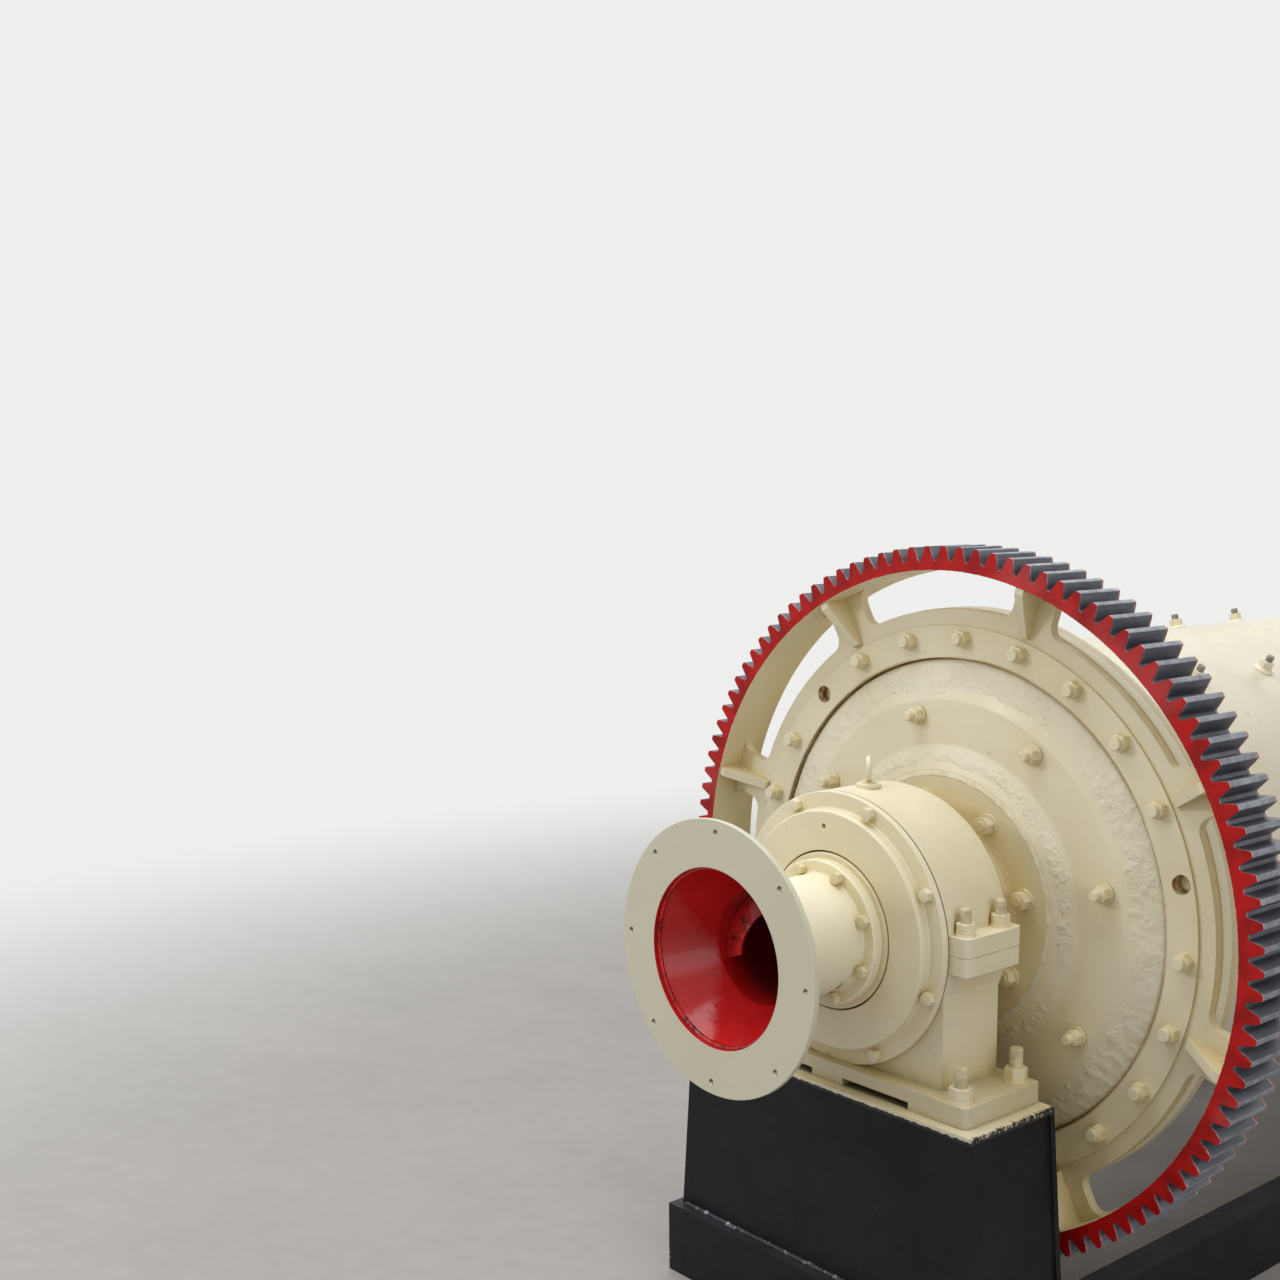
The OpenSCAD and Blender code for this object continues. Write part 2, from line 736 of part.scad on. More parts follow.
// Spiral flight that returns the balls, seated in the discharge bore
module discharge_spiral() {
    start = trunnion_flange_back;
    len = cone_back - 11 - start;
    reach = bore_r - 0.3;
    turn = drum_phase + flight_end_turn - 360 * len / flight_pitch;
    color(red) outward("discharge") rotate(turn) translate([0, 0, start])
        linear_extrude(len, twist = -360 * len / flight_pitch, slices = 60, segments = 4)
            translate([reach - flight_h, -flight_t / 2]) square([flight_h, flight_t]);
}

// Short flanged pipe between the feed trunnion and the feeder
module feed_neck() {
    color(cream) outward("feed") rotate_extrude($fn = 120) polygon(rounded([
        [bore_r, trunnion_end], [neck_flange_d / 2, trunnion_end],
        [neck_flange_d / 2, trunnion_end + neck_flange_t, 3],
        [pipe_r, trunnion_end + neck_flange_t, 6], [pipe_r, feeder_near - 14, 6],
        [neck_flange_d / 2, feeder_near - 14, 2], [neck_flange_d / 2, feeder_near],
        [bore_r, feeder_near]
    ]));
}

// Drum feeder: two plates and the rim between them, with the feed opening in the outer one
module feeder_back_plate() {
    color(cream) outward("feed")
        ring(bore_r, feeder_d / 2, feeder_near, feeder_near + feeder_wall);
}

module feeder_rim() {
    color(cream) outward("feed")
        ring(feeder_d / 2 - feeder_wall, feeder_d / 2, feeder_near + feeder_wall,
             feeder_far - feeder_wall);
}

module feeder_front_plate() {
    color(cream) outward("feed")
        ring(feed_mouth_d / 2, feeder_d / 2, feeder_far - feeder_wall, feeder_far);
}

left_rail();
right_rail();
discharge_end_beam();
feed_end_beam();
discharge_cross_beam();
feed_cross_beam();
discharge_pedestal();
feed_pedestal();
discharge_sole_plate();
feed_sole_plate();
discharge_bearing_base();
feed_bearing_base();
discharge_bearing_cap();
feed_bearing_cap();
discharge_bearing_ring();
feed_bearing_ring();
discharge_outer_cover();
feed_outer_cover();
discharge_inner_cover();
feed_inner_cover();
discharge_cap_bolts();
feed_cap_bolts();
discharge_foot_bolts();
feed_foot_bolts();
discharge_lifting_eye();
feed_lifting_eye();
drum_shell();
discharge_shell_flange();
feed_shell_flange();
discharge_head();
feed_head();
girth_gear();
discharge_trunnion();
feed_trunnion();
discharge_trumpet();
discharge_spiral();
feed_neck();
feeder_back_plate();
feeder_rim();
feeder_front_plate();
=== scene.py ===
import math
import random

import bpy
from mathutils import Matrix, Vector, noise


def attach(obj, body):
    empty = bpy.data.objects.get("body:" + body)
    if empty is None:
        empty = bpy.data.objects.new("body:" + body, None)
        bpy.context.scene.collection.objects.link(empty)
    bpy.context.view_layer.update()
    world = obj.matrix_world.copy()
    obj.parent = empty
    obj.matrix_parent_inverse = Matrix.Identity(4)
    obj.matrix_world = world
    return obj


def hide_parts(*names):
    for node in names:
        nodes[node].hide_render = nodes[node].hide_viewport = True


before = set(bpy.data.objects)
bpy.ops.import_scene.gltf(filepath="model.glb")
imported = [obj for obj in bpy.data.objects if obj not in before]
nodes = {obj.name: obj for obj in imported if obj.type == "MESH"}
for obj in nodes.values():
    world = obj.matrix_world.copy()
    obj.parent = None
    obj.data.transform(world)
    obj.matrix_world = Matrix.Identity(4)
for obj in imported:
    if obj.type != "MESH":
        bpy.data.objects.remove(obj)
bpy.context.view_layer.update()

# Sizes of the mill that the pieces sit on, in metres, as in the construction source.
# Faces are given by their distance from the middle of the drum, the same at both ends.

AXIS_H = 0.776
PHASE = math.radians(13.4)
SIDE = {"discharge": -1, "feed": 1}

# Drum and heads
SHELL_R = 0.470
SHELL_HALF = 0.900
SHELL_FLANGE_T = 0.022
FLANGE_R = 0.555
HEAD_FACE = SHELL_HALF + 0.025
PAD_FACE = HEAD_FACE + 0.025
BOSS_H = 0.058
RING_H = 0.042
REGISTER_H = 0.015
TRUNNION_FLANGE_R = 0.245
RING_INNER_R = 0.300
RING_OUTER_R = 0.385
REGISTER_R = 0.4615
RING_FACE = HEAD_FACE + RING_H
TRUNNION_FACE = HEAD_FACE + BOSS_H + 0.002

# Girth gear
GEAR_RIM_R = 0.628
GEAR_ROOT_R = 0.645
GEAR_TIP_R = 0.672
GEAR_FRONT = 1.00504
GEAR_BACK = GEAR_FRONT - 0.116
SUNK_HOLE_R = 0.017

# Bearings
BEARING_MID = 1.180
BARREL_R = 0.247
BARREL_OUTER = BEARING_MID + 0.075
COVER_RIM = BARREL_OUTER + 0.014
INNER_COVER = BEARING_MID - 0.075 - 0.014
EAR_T = 0.033
EYE_OUT = 0.009
EYE_SEAT_H = 0.250
FOOT_MID = BEARING_MID + 0.009
FOOT_TOP = 0.534
SLOT_TOP = 0.511

# Trumpet
NECK_FACE = 1.313
CONE_BACK = 1.461
DISC_BACK = 1.555
MOUTH_R = 0.155
DISC_HOLE_CIRCLE = 0.217

# Base and pedestals
BASE_H = 0.140
BASE_HALF_W = 0.392
BASE_HALF_LEN = 1.334
PEDESTAL_INNER = 1.088
PEDESTAL_OUTER = 1.311
PEDESTAL_TOP = 0.485
PEDESTAL_FOOT_HALF = 0.375
PEDESTAL_TOP_HALF = 0.347
PLATE_STEP = 0.005

# Studs of the bearings
CAP_STUD_D = 0.020
CAP_STUD_X = 0.257
CAP_STUD_PITCH = 0.092
CAP_STUD_START = -0.057
CAP_STUD_RISE = 0.046
FOOT_STUD_D = 0.024
FOOT_STUD_SPAN = 0.568
FOOT_STUD_PITCH = 0.148
FOOT_STUD_START = -0.0487
FOOT_STUD_RISE = 0.059

# Bolt circles, given by their radius, and the angle of the first bolt where it isn't the drum's
BOLTS_ROUND = 8
FLANGE_CIRCLE = 0.500
FLANGE_PLACES = 24
SUNK_PLACES = (0, 8)
RING_CIRCLE = 0.358
RING_FIRST = PHASE - math.radians(0.7)
TRUNNION_CIRCLE = 0.198
TRUNNION_FIRST = PHASE - math.radians(1.6)
NECK_CIRCLE = 0.1175
NECK_FIRST = PHASE + math.radians(8.0)
COVER_CIRCLE = 0.2325
INNER_COVER_CIRCLE = 0.218
COVER_FIRST = math.radians(25.5)

# Seam and liner bolts of the shell
SEAM_ANGLE = math.radians(80.8)
LINER_FIRST = math.radians(15)
LINER_ROWS = 8
LINER_PITCH = 0.250
LINER_SHIFT = -0.030


# Places

def place_at(spot, x, y, z):
    """The place at a spot whose own axes point along x, y and z."""
    return Matrix(((*x, 0), (*y, 0), (*z, 0), (*spot, 1))).transposed()


def upright(x, y, z):
    return Matrix.Translation((x, y, z))


def round_axis(r, angle, y):
    """The point at a radius and an angle from +X round the mill axis."""
    return (r * math.cos(angle), y, AXIS_H + r * math.sin(angle))


def along_axis(end, radius, angle, station):
    """The place at an angle round the mill axis whose Z points outward at that end."""
    facing = Vector((0, SIDE[end], 0))
    out = Vector((math.cos(angle), 0, math.sin(angle)))
    return place_at(round_axis(radius, angle, SIDE[end] * station), out, facing.cross(out), facing)


def inward(place):
    """The same place, with Z pointing the other way."""
    return place @ Matrix.Rotation(math.pi, 4, "X")


def angles(count, first):
    """Equal steps round a full circle."""
    return [first + math.tau * i / count for i in range(count)]


# Camera at the photograph's viewing angle, in metres, degrees and pixels of the photograph

CAMERA_SPOT = Vector((1.962, -3.329, 1.552))
CAMERA_YAW = math.radians(50.634)
CAMERA_PITCH = math.radians(8.723)
CAMERA_ROLL = math.radians(-0.564)
PHOTO_SIDE = 1280
FOCAL_PIXELS = 1624.92
SHIFT_PIXELS = 100.73
SENSOR = 36.0


def link(obj):
    bpy.context.scene.collection.objects.link(obj)


def make_camera():
    ahead = Vector((
        -math.sin(CAMERA_YAW) * math.cos(CAMERA_PITCH),
        math.cos(CAMERA_YAW) * math.cos(CAMERA_PITCH),
        -math.sin(CAMERA_PITCH),
    ))
    right = Vector((math.cos(CAMERA_YAW), math.sin(CAMERA_YAW), 0))
    up = right.cross(ahead)
    x = math.cos(CAMERA_ROLL) * right + math.sin(CAMERA_ROLL) * up
    y = -math.sin(CAMERA_ROLL) * right + math.cos(CAMERA_ROLL) * up
    data = bpy.data.cameras.new("camera")
    data.sensor_width = SENSOR
    data.lens = FOCAL_PIXELS / PHOTO_SIDE * SENSOR
    data.shift_y = SHIFT_PIXELS / PHOTO_SIDE
    data.clip_start = 0.05
    data.clip_end = 100
    camera = bpy.data.objects.new("camera", data)
    camera.matrix_world = place_at(CAMERA_SPOT, x, y, -ahead)
    link(camera)
    bpy.context.scene.camera = camera


# Light

BACKDROP = (0.86, 0.86, 0.85, 1)
AMBIENT = (0.95, 0.94, 0.91, 1)
AMBIENT_STRENGTH = 0.71


def area_light(name, place, target, size, power, colour=(1, 1, 1)):
    data = bpy.data.lights.new(name, "AREA")
    data.shape = "DISK"
    data.size = size
    data.energy = power
    data.color = colour
    lamp = bpy.data.objects.new(name, data)
    lamp.location = place
    lamp.rotation_mode = "QUATERNION"
    lamp.rotation_quaternion = (Vector(target) - Vector(place)).to_track_quat("-Z", "Y")
    link(lamp)


def make_lights():
    middle = (0, -0.4, 0.8)
    area_light("roof", (-0.8, -1.4, 5.0), (0, -1.1, 0.8), 4.2, 155, (0.95, 0.98, 1.0))
    area_light("key", (-2.6, -5.6, 3.2), middle, 0.9, 62, (1.0, 0.985, 0.96))
    area_light("fill", (5.4, -2.2, 2.4), middle, 4.0, 51, (1.0, 0.99, 0.97))
    area_light("back", (-1.5, 5.2, 4.4), middle, 4.0, 30)


def seen_rays(tree):
    """1 for rays that show the background itself, straight or in a reflection."""
    path = tree.nodes.new("ShaderNodeLightPath")
    value = path.outputs["Is Camera Ray"]
    for other in ("Is Glossy Ray", "Is Transmission Ray"):
        most = tree.nodes.new("ShaderNodeMath")
        most.operation = "MAXIMUM"
        tree.links.new(value, most.inputs[0])
        tree.links.new(path.outputs[other], most.inputs[1])
        value = most.outputs[0]
    return value


def make_world():
    world = bpy.data.worlds.new("studio")
    bpy.context.scene.world = world
    world.use_nodes = True
    tree = world.node_tree
    tree.nodes.clear()
    out = tree.nodes.new("ShaderNodeOutputWorld")
    mix = tree.nodes.new("ShaderNodeMixShader")
    tree.links.new(seen_rays(tree), mix.inputs[0])
    for i, (colour, strength) in enumerate([(AMBIENT, AMBIENT_STRENGTH), (BACKDROP, 1.0)]):
        background = tree.nodes.new("ShaderNodeBackground")
        background.inputs["Color"].default_value = colour
        background.inputs["Strength"].default_value = strength
        tree.links.new(background.outputs[0], mix.inputs[1 + i])
    tree.links.new(mix.outputs[0], out.inputs[0])


# Colours

def srgb(r, g, b):
    """A colour written in 0 to 255, as the linear numbers that a shader takes."""
    def one(v):
        v /= 255
        return v / 12.92 if v <= 0.04045 else ((v + 0.055) / 1.055) ** 2.4
    return (one(r), one(g), one(b), 1.0)


CREAM = srgb(219, 211, 186)
CREAM_DARK = srgb(206, 194, 162)
CREAM_GREY = srgb(210, 206, 188)
# Painted light: the trumpet neck's cream, lighter than the same paint elsewhere
CREAM_LIT = srgb(236, 231, 212)
CREAM_LIT_DARK = srgb(226, 217, 190)
# Painted light: the covers' cream, lighter than the same paint elsewhere
COVER_CREAM_LIT = srgb(225, 217, 194)
COVER_CREAM_LIT_DARK = srgb(213, 201, 168)
CAST_CREAM = srgb(219, 212, 191)
CAST_CREAM_DARK = srgb(206, 197, 170)
SHELL_CREAM = srgb(201, 194, 174)
SHELL_CREAM_DARK = srgb(194, 186, 163)
# Painted light on the outer rim of the discharge head, seen through the gear's windows
RIM_PAINTED_LIGHT = srgb(246, 244, 230)
PALE = srgb(198, 195, 174)
PALE_DARK = srgb(196, 193, 170)
# Painted light and painted shade in the bores of the disc's holes
BORE_LIT = srgb(246, 244, 232)
BORE_SHADED = srgb(124, 120, 100)
# Painted shade: the warm tone that shaded cream takes from light bounced off other cream parts
SHADE_MUSTARD = srgb(213, 187, 106)
OCHRE = srgb(168, 138, 82)
# Dark brown of grime in corners and in dark joint lines, and of painted shade in corners
GRIME_AND_SHADE = srgb(116, 94, 56)
FOOT_DARKER = srgb(138, 126, 94)
JOINT_BROWN = srgb(70, 48, 26)
CRACK_BROWN = srgb(60, 46, 30)
SUNK_STAIN = srgb(120, 62, 48)
# Painted shade in the slots under the bearing's foot
SLOT_SHADE = srgb(62, 62, 50)
BARE = srgb(120, 116, 108)
RED = srgb(176, 22, 21)
RED_DARK = srgb(138, 16, 16)
# Pinkish patches on the red: dust, and painted sheen where the rim catches the light
RED_DUST_AND_SHEEN = srgb(200, 104, 104)
RED_THIN = srgb(214, 170, 168)
RED_GLOSS = srgb(192, 30, 32)
GLOSS_DARK = srgb(150, 17, 18)
# Near-black red deep in the bore: dirt and painted shade
GLOSS_DIRT_AND_SHADE = srgb(34, 5, 10)
NICK_DARK = srgb(56, 12, 16)
BLACK = srgb(23, 23, 27)
BLACK_DUST = srgb(58, 59, 64)
BLACK_SCRATCH = srgb(120, 118, 114)
BLACK_WELD = srgb(34, 34, 37)
WELD_SPECK = srgb(150, 155, 165)
STEEL = srgb(112, 116, 125)
STEEL_DARK = srgb(78, 81, 90)
STEEL_LIGHT = srgb(176, 180, 188)
# Painted shade on the tooth flanks
NAVY_SHADE = srgb(30, 32, 44)
STUD_BARE = srgb(150, 142, 128)
STUD_BARE_DARK = srgb(112, 104, 92)
STUD_DULL = srgb(204, 193, 160)
STUD_DULL_DARK = srgb(176, 163, 128)
CONCRETE = srgb(155, 151, 149)
CONCRETE_DARK = srgb(145, 142, 139)
CONCRETE_LIGHT = srgb(164, 161, 158)


# Materials

class Shader:
    """Builds a node material a step at a time. Values are sockets, numbers or colours."""

    def __init__(self, name):
        self.material = bpy.data.materials.new(name)
        self.material.use_nodes = True
        self.tree = self.material.node_tree
        self.tree.nodes.clear()
        self.out = self.node("ShaderNodeOutputMaterial")
        self.coat = self.node("ShaderNodeBsdfPrincipled")
        self.tree.links.new(self.coat.outputs[0], self.out.inputs[0])
        coords = self.node("ShaderNodeTexCoord")
        self.place = coords.outputs["Object"]
        self.normal = coords.outputs["Normal"]

    def node(self, kind):
        return self.tree.nodes.new(kind)

    def feed(self, socket, value):
        """Links a socket into another, or writes a plain value there."""
        if isinstance(value, bpy.types.NodeSocket):
            self.tree.links.new(value, socket)
        elif value is not None:
            socket.default_value = value

    def maths(self, operation, a, b=None, clamp=False):
        n = self.node("ShaderNodeMath")
        n.operation = operation
        n.use_clamp = clamp
        for socket, value in zip(n.inputs, (a, b)):
            self.feed(socket, value)
        return n.outputs[0]

    def plus(self, a, b, clamp=False):
        return self.maths("ADD", a, b, clamp)

    def minus(self, a, b, clamp=False):
        return self.maths("SUBTRACT", a, b, clamp)

    def times(self, value, *others):
        for other in others:
            value = self.maths("MULTIPLY", value, other)
        return value

    def most(self, a, b):
        return self.maths("MAXIMUM", a, b)

    def apart(self, a, b):
        """How far two values are from each other."""
        return self.maths("ABSOLUTE", self.minus(a, b))

    def length(self, a, b):
        """Length of a line with these two parts, square to each other."""
        return self.maths("SQRT", self.plus(self.times(a, a), self.times(b, b)))

    def split(self, vector):
        n = self.node("ShaderNodeSeparateXYZ")
        self.feed(n.inputs[0], vector)
        return n.outputs

    def noise(self, scale, detail=2.0, rough=0.5, at=None, stretch=None):
        n = self.node("ShaderNodeTexNoise")
        where = at if at is not None else self.place
        if stretch:
            m = self.node("ShaderNodeMapping")
            m.inputs["Scale"].default_value = stretch
            self.feed(m.inputs["Vector"], where)
            where = m.outputs[0]
        self.feed(n.inputs["Vector"], where)
        n.inputs["Scale"].default_value = scale
        n.inputs["Detail"].default_value = detail
        n.inputs["Roughness"].default_value = rough
        return n.outputs["Fac"]

    def ramp(self, value, low, high, to_low=0.0, to_high=1.0):
        """Goes softly from one value to another between two limits, which may fall or rise."""
        n = self.node("ShaderNodeMapRange")
        n.interpolation_type = "SMOOTHSTEP"
        self.feed(n.inputs["Value"], value)
        n.inputs["From Min"].default_value = low
        n.inputs["From Max"].default_value = high
        n.inputs["To Min"].default_value = to_low
        n.inputs["To Max"].default_value = to_high
        return n.outputs["Result"]

    def sheen(self, low, high, scale=14.0, detail=3.0):
        """A roughness that wanders between two values."""
        return self.ramp(self.noise(scale, detail), 0.3, 0.7, low, high)

    def mix(self, factor, a, b):
        """Colour a where the factor is 0, colour b where it is 1, by the node's colour sockets."""
        n = self.node("ShaderNodeMix")
        n.data_type = "RGBA"
        self.feed(n.inputs[0], factor)
        self.feed(n.inputs[6], a)
        self.feed(n.inputs[7], b)
        return n.outputs[2]

    def hidden(self, distance, own_shape=False):
        """How much of the surroundings is closed off within a distance, by the piece or by all."""
        n = self.node("ShaderNodeAmbientOcclusion")
        n.only_local = own_shape
        n.samples = 6
        n.inputs["Distance"].default_value = distance
        return self.minus(1.0, n.outputs["AO"], clamp=True)

    def station(self):
        """Distance from the middle of the drum along the mill axis."""
        return self.maths("ABSOLUTE", self.split(self.place)[1])

    def height(self):
        """Height above the floor at rest."""
        return self.split(self.place)[2]

    def radius(self):
        """Distance from the mill axis."""
        x, _, z = self.split(self.place)
        return self.length(x, self.minus(z, AXIS_H))

    def facing_axis(self):
        """The part of the surface normal that points along the mill axis, without its sign."""
        return self.maths("ABSOLUTE", self.split(self.normal)[1])

    def facing_out(self):
        """The part of the surface normal that points away from the mill axis."""
        x, _, z = self.split(self.place)
        nx, _, nz = self.split(self.normal)
        dot = self.plus(self.times(x, nx), self.times(self.minus(z, AXIS_H), nz))
        return self.maths("DIVIDE", dot, self.most(self.radius(), 0.001))

    def facing_up(self):
        """The part of the surface normal that points up, however far the drum has turned."""
        return self.split(self.node("ShaderNodeNewGeometry").outputs["Normal"])[2]

    def bump(self, height, distance, normal=None, strength=1.0):
        n = self.node("ShaderNodeBump")
        n.inputs["Strength"].default_value = strength
        n.inputs["Distance"].default_value = distance
        self.feed(n.inputs["Height"], height)
        self.feed(n.inputs["Normal"], normal)
        return n.outputs[0]

    def soft_edge(self, radius):
        n = self.node("ShaderNodeBevel")
        n.samples = 4
        n.inputs["Radius"].default_value = radius
        return n.outputs[0]

    def finish(self, colour, rough, normal=None, metal=0.0, specular=0.5, coat=0.0):
        self.feed(self.coat.inputs["Base Color"], colour)
        self.feed(self.coat.inputs["Roughness"], rough)
        self.feed(self.coat.inputs["Normal"], normal)
        self.feed(self.coat.inputs["Metallic"], metal)
        self.feed(self.coat.inputs["Specular IOR Level"], specular)
        self.coat.inputs["Coat Weight"].default_value = coat
        self.coat.inputs["Coat Roughness"].default_value = 0.12
        return self.material


def cream_colour(s, light=CREAM, dark=CREAM_DARK, grime_and_shade=0.55):
    """Cream enamel: uneven coats, painted mustard shade where other parts close it in, grime and
    painted shade in the corners, and a few chips.
    """
    patches = s.ramp(s.noise(4.0, 3.0), 0.35, 0.68)
    streaks = s.ramp(s.noise(9.0, 4.0, 0.6, stretch=(1.0, 1.0, 0.25)), 0.40, 0.75)
    colour = s.mix(s.times(patches, 0.7), light, dark)
    colour = s.mix(s.times(streaks, 0.30), colour, CREAM_GREY)
    # Painted shade: mustard mixed in where the surroundings close off the light
    shade = s.ramp(s.hidden(0.35), 0.25, 0.85, 0.0, 0.6)
    colour = s.mix(shade, colour, SHADE_MUSTARD)
    # Grime and painted shade in tight corners, by how closed in the piece's own shape is
    corners = s.ramp(s.hidden(0.03, own_shape=True), 0.25, 0.85)
    blotches = s.ramp(s.noise(24.0, 4.0, 0.65), 0.38, 0.66)
    colour = s.mix(s.times(corners, blotches, grime_and_shade), colour, GRIME_AND_SHADE)
    chips = s.ramp(s.noise(80.0, 3.0), 0.70, 0.74)
    chipped = s.ramp(s.noise(6.0), 0.52, 0.66)
    return s.mix(s.times(chips, chipped, 0.55), colour, BARE)


def enamel_bump(s, normal):
    """Orange peel and brush marks of enamel."""
    peel = s.noise(330.0)
    brush = s.noise(60.0, 3.0, 0.55)
    return s.bump(s.plus(s.times(peel, 0.35), brush), 0.0007, normal, 0.55)


def cream_enamel(name, edge):
    """Cream enamel on a machined or plain piece, whose edges it rounds by the given radius."""
    s = Shader(name)
    return s.finish(cream_colour(s), s.sheen(0.30, 0.48), enamel_bump(s, s.soft_edge(edge)))


def slot_shade(s):
    """Mask of painted shade deep in the slots under the bearing's foot."""
    return s.ramp(s.hidden(0.04), 0.45, 0.75, 0.0, 0.85)


def housing_joints(s):
    """Mask of the lines between cap and housing and between barrel and outer cover."""
    split = s.ramp(s.apart(s.height(), AXIS_H), 0.0013, 0.0005)
    uneven = s.ramp(s.noise(40.0, 3.0), 0.3, 0.6, 0.12, 0.45)
    at_cover = s.ramp(s.apart(s.station(), BARREL_OUTER), 0.0013, 0.0006)
    at_rim = s.ramp(s.apart(s.radius(), BARREL_R + 0.0005), 0.0045, 0.0040)
    return s.most(s.times(split, uneven), s.times(at_cover, at_rim, 0.8))


def cream_cast():
    """Cream enamel over sand-cast iron, darker towards the foot, with painted shade in the slots under
    it.
    """
    s = Shader("cream_cast")
    # Darker towards the foot of the casting
    foot = s.ramp(s.height(), FOOT_TOP + 0.03, FOOT_TOP - 0.01, 0.0, 0.3)
    colour = s.mix(foot, cream_colour(s, grime_and_shade=0.7), FOOT_DARKER)
    # Painted shade in the slots under the foot
    at_slots = s.ramp(s.height(), SLOT_TOP + 0.002, SLOT_TOP)
    colour = s.mix(s.times(at_slots, slot_shade(s)), colour, SLOT_SHADE)
    colour = s.mix(housing_joints(s), colour, GRIME_AND_SHADE)
    pits = s.ramp(s.noise(85.0, 5.0, 0.62), 0.25, 0.75)
    lumps = s.noise(22.0, 3.0)
    normal = s.bump(s.plus(s.times(pits, 0.5), lumps), 0.0022, s.soft_edge(0.0022), 0.5)
    return s.finish(colour, s.sheen(0.36, 0.55), normal)


def cream_rough():
    """The unmachined zones of the heads, thick paint over rough sand casting."""
    s = Shader("cream_rough")
    pits = s.noise(260.0, 4.0, 0.6)
    ridges = s.noise(120.0, 4.0, 0.6)
    patches = s.ramp(s.noise(9.0), 0.36, 0.62, 0.25, 1.0)
    height = s.times(s.plus(s.times(pits, 0.30), ridges), patches)
    colour = cream_colour(s, CAST_CREAM, CAST_CREAM_DARK, 0.7)
    return s.finish(colour, s.sheen(0.36, 0.58, 30.0), s.bump(height, 0.004, strength=0.9))


def register_joint(s, colour):
    """Ochre band, partly stain and partly painted shade, with a soft dark line where the gear's bore
    meets the head.
    """
    off = s.apart(s.radius(), REGISTER_R)
    face = s.ramp(s.facing_axis(), 0.4, 0.7)
    uneven = s.ramp(s.noise(5.0, 4.0, 0.6), 0.38, 0.62, 0.15, 0.85)
    # Ochre stain and painted shade in the corner of the joint
    stain_and_shade = s.times(s.ramp(off, 0.0060, 0.0020), uneven, face)
    broken = s.ramp(s.noise(26.0, 4.0, 0.6), 0.3, 0.6, 0.3, 0.7)
    line = s.times(s.ramp(off, 0.0018, 0.0008), broken)
    return s.mix(line, s.mix(stain_and_shade, colour, OCHRE), GRIME_AND_SHADE)


def cover_paint():
    """Cream enamel of an outer cover, made lighter than the other cream as painted light, with a dark
    line down in its joint with the barrel.
    """
    s = Shader("cover_paint")
    low = s.ramp(s.station(), BARREL_OUTER + 0.0028, BARREL_OUTER + 0.0020)
    at_rim = s.ramp(s.radius(), BARREL_R - 0.0070, BARREL_R - 0.0055)
    # Painted light: a lighter copy of the cream
    cream = cream_colour(s, COVER_CREAM_LIT, COVER_CREAM_LIT_DARK)
    colour = s.mix(s.times(low, at_rim, 0.9), cream, JOINT_BROWN)
    return s.finish(colour, s.sheen(0.30, 0.48), enamel_bump(s, s.soft_edge(0.0018)))


def head_paint():
    """Smooth turned zones of the head, faintly ringed by the tool, with painted light on the discharge
    rim.
    """
    s = Shader("head_paint")
    r = s.radius()
    across = s.node("ShaderNodeCombineXYZ")
    s.feed(across.inputs[0], s.times(r, 420.0))
    rings = s.bump(s.noise(1.0, at=across.outputs[0]), 0.0004, strength=0.35)
    # Painted light: the outward face of the discharge head's rim is made paler
    discharge = s.ramp(s.split(s.place)[1], 0.1, -0.1, 0.0, 0.85)
    lit_rim = s.ramp(r, FLANGE_R - 0.040, FLANGE_R - 0.035)
    lit_rim = s.times(lit_rim, s.ramp(s.facing_out(), 0.5, 0.8), discharge)
    cream = s.mix(lit_rim, cream_colour(s, grime_and_shade=0.6), RIM_PAINTED_LIGHT)
    return s.finish(register_joint(s, cream), s.sheen(0.34, 0.52), enamel_bump(s, rings))


def shell_paint():
    """Cream enamel on rolled plate, dusty, with faint runs round the drum."""
    s = Shader("shell_paint")
    colour = cream_colour(s, SHELL_CREAM, SHELL_CREAM_DARK, 0.4)
    dust = s.ramp(s.noise(6.0, 5.0, 0.6, stretch=(1.0, 0.35, 1.0)), 0.42, 0.72)
    colour = s.mix(s.times(dust, 0.25), colour, CREAM_GREY)
    waves = s.bump(s.noise(3.0, 1.0), 0.003, strength=0.25)
    return s.finish(colour, s.sheen(0.32, 0.50, 10.0), enamel_bump(s, waves))


def black_enamel():
    """Satin black over plate, dusty on top, with upright scratches."""
    s = Shader("black_enamel")
    top = s.ramp(s.split(s.normal)[2], 0.55, 0.95)
    cloud = s.ramp(s.noise(7.0, 5.0, 0.6), 0.32, 0.72)
    settled = s.times(top, s.plus(s.times(cloud, 0.45), 0.35))
    hazy = s.times(cloud, 0.12)
    colour = s.mix(s.plus(settled, hazy, clamp=True), BLACK, BLACK_DUST)
    scratch = s.ramp(s.noise(90.0, 3.0, 0.6, stretch=(0.15, 0.15, 1.0)), 0.72, 0.78)
    colour = s.mix(s.times(scratch, 0.20), colour, BLACK_SCRATCH)
    normal = s.bump(s.noise(160.0, 3.0), 0.0006, s.soft_edge(0.0016), 0.5)
    return s.finish(colour, s.sheen(0.34, 0.55, 18.0, 4.0), normal, specular=0.16)


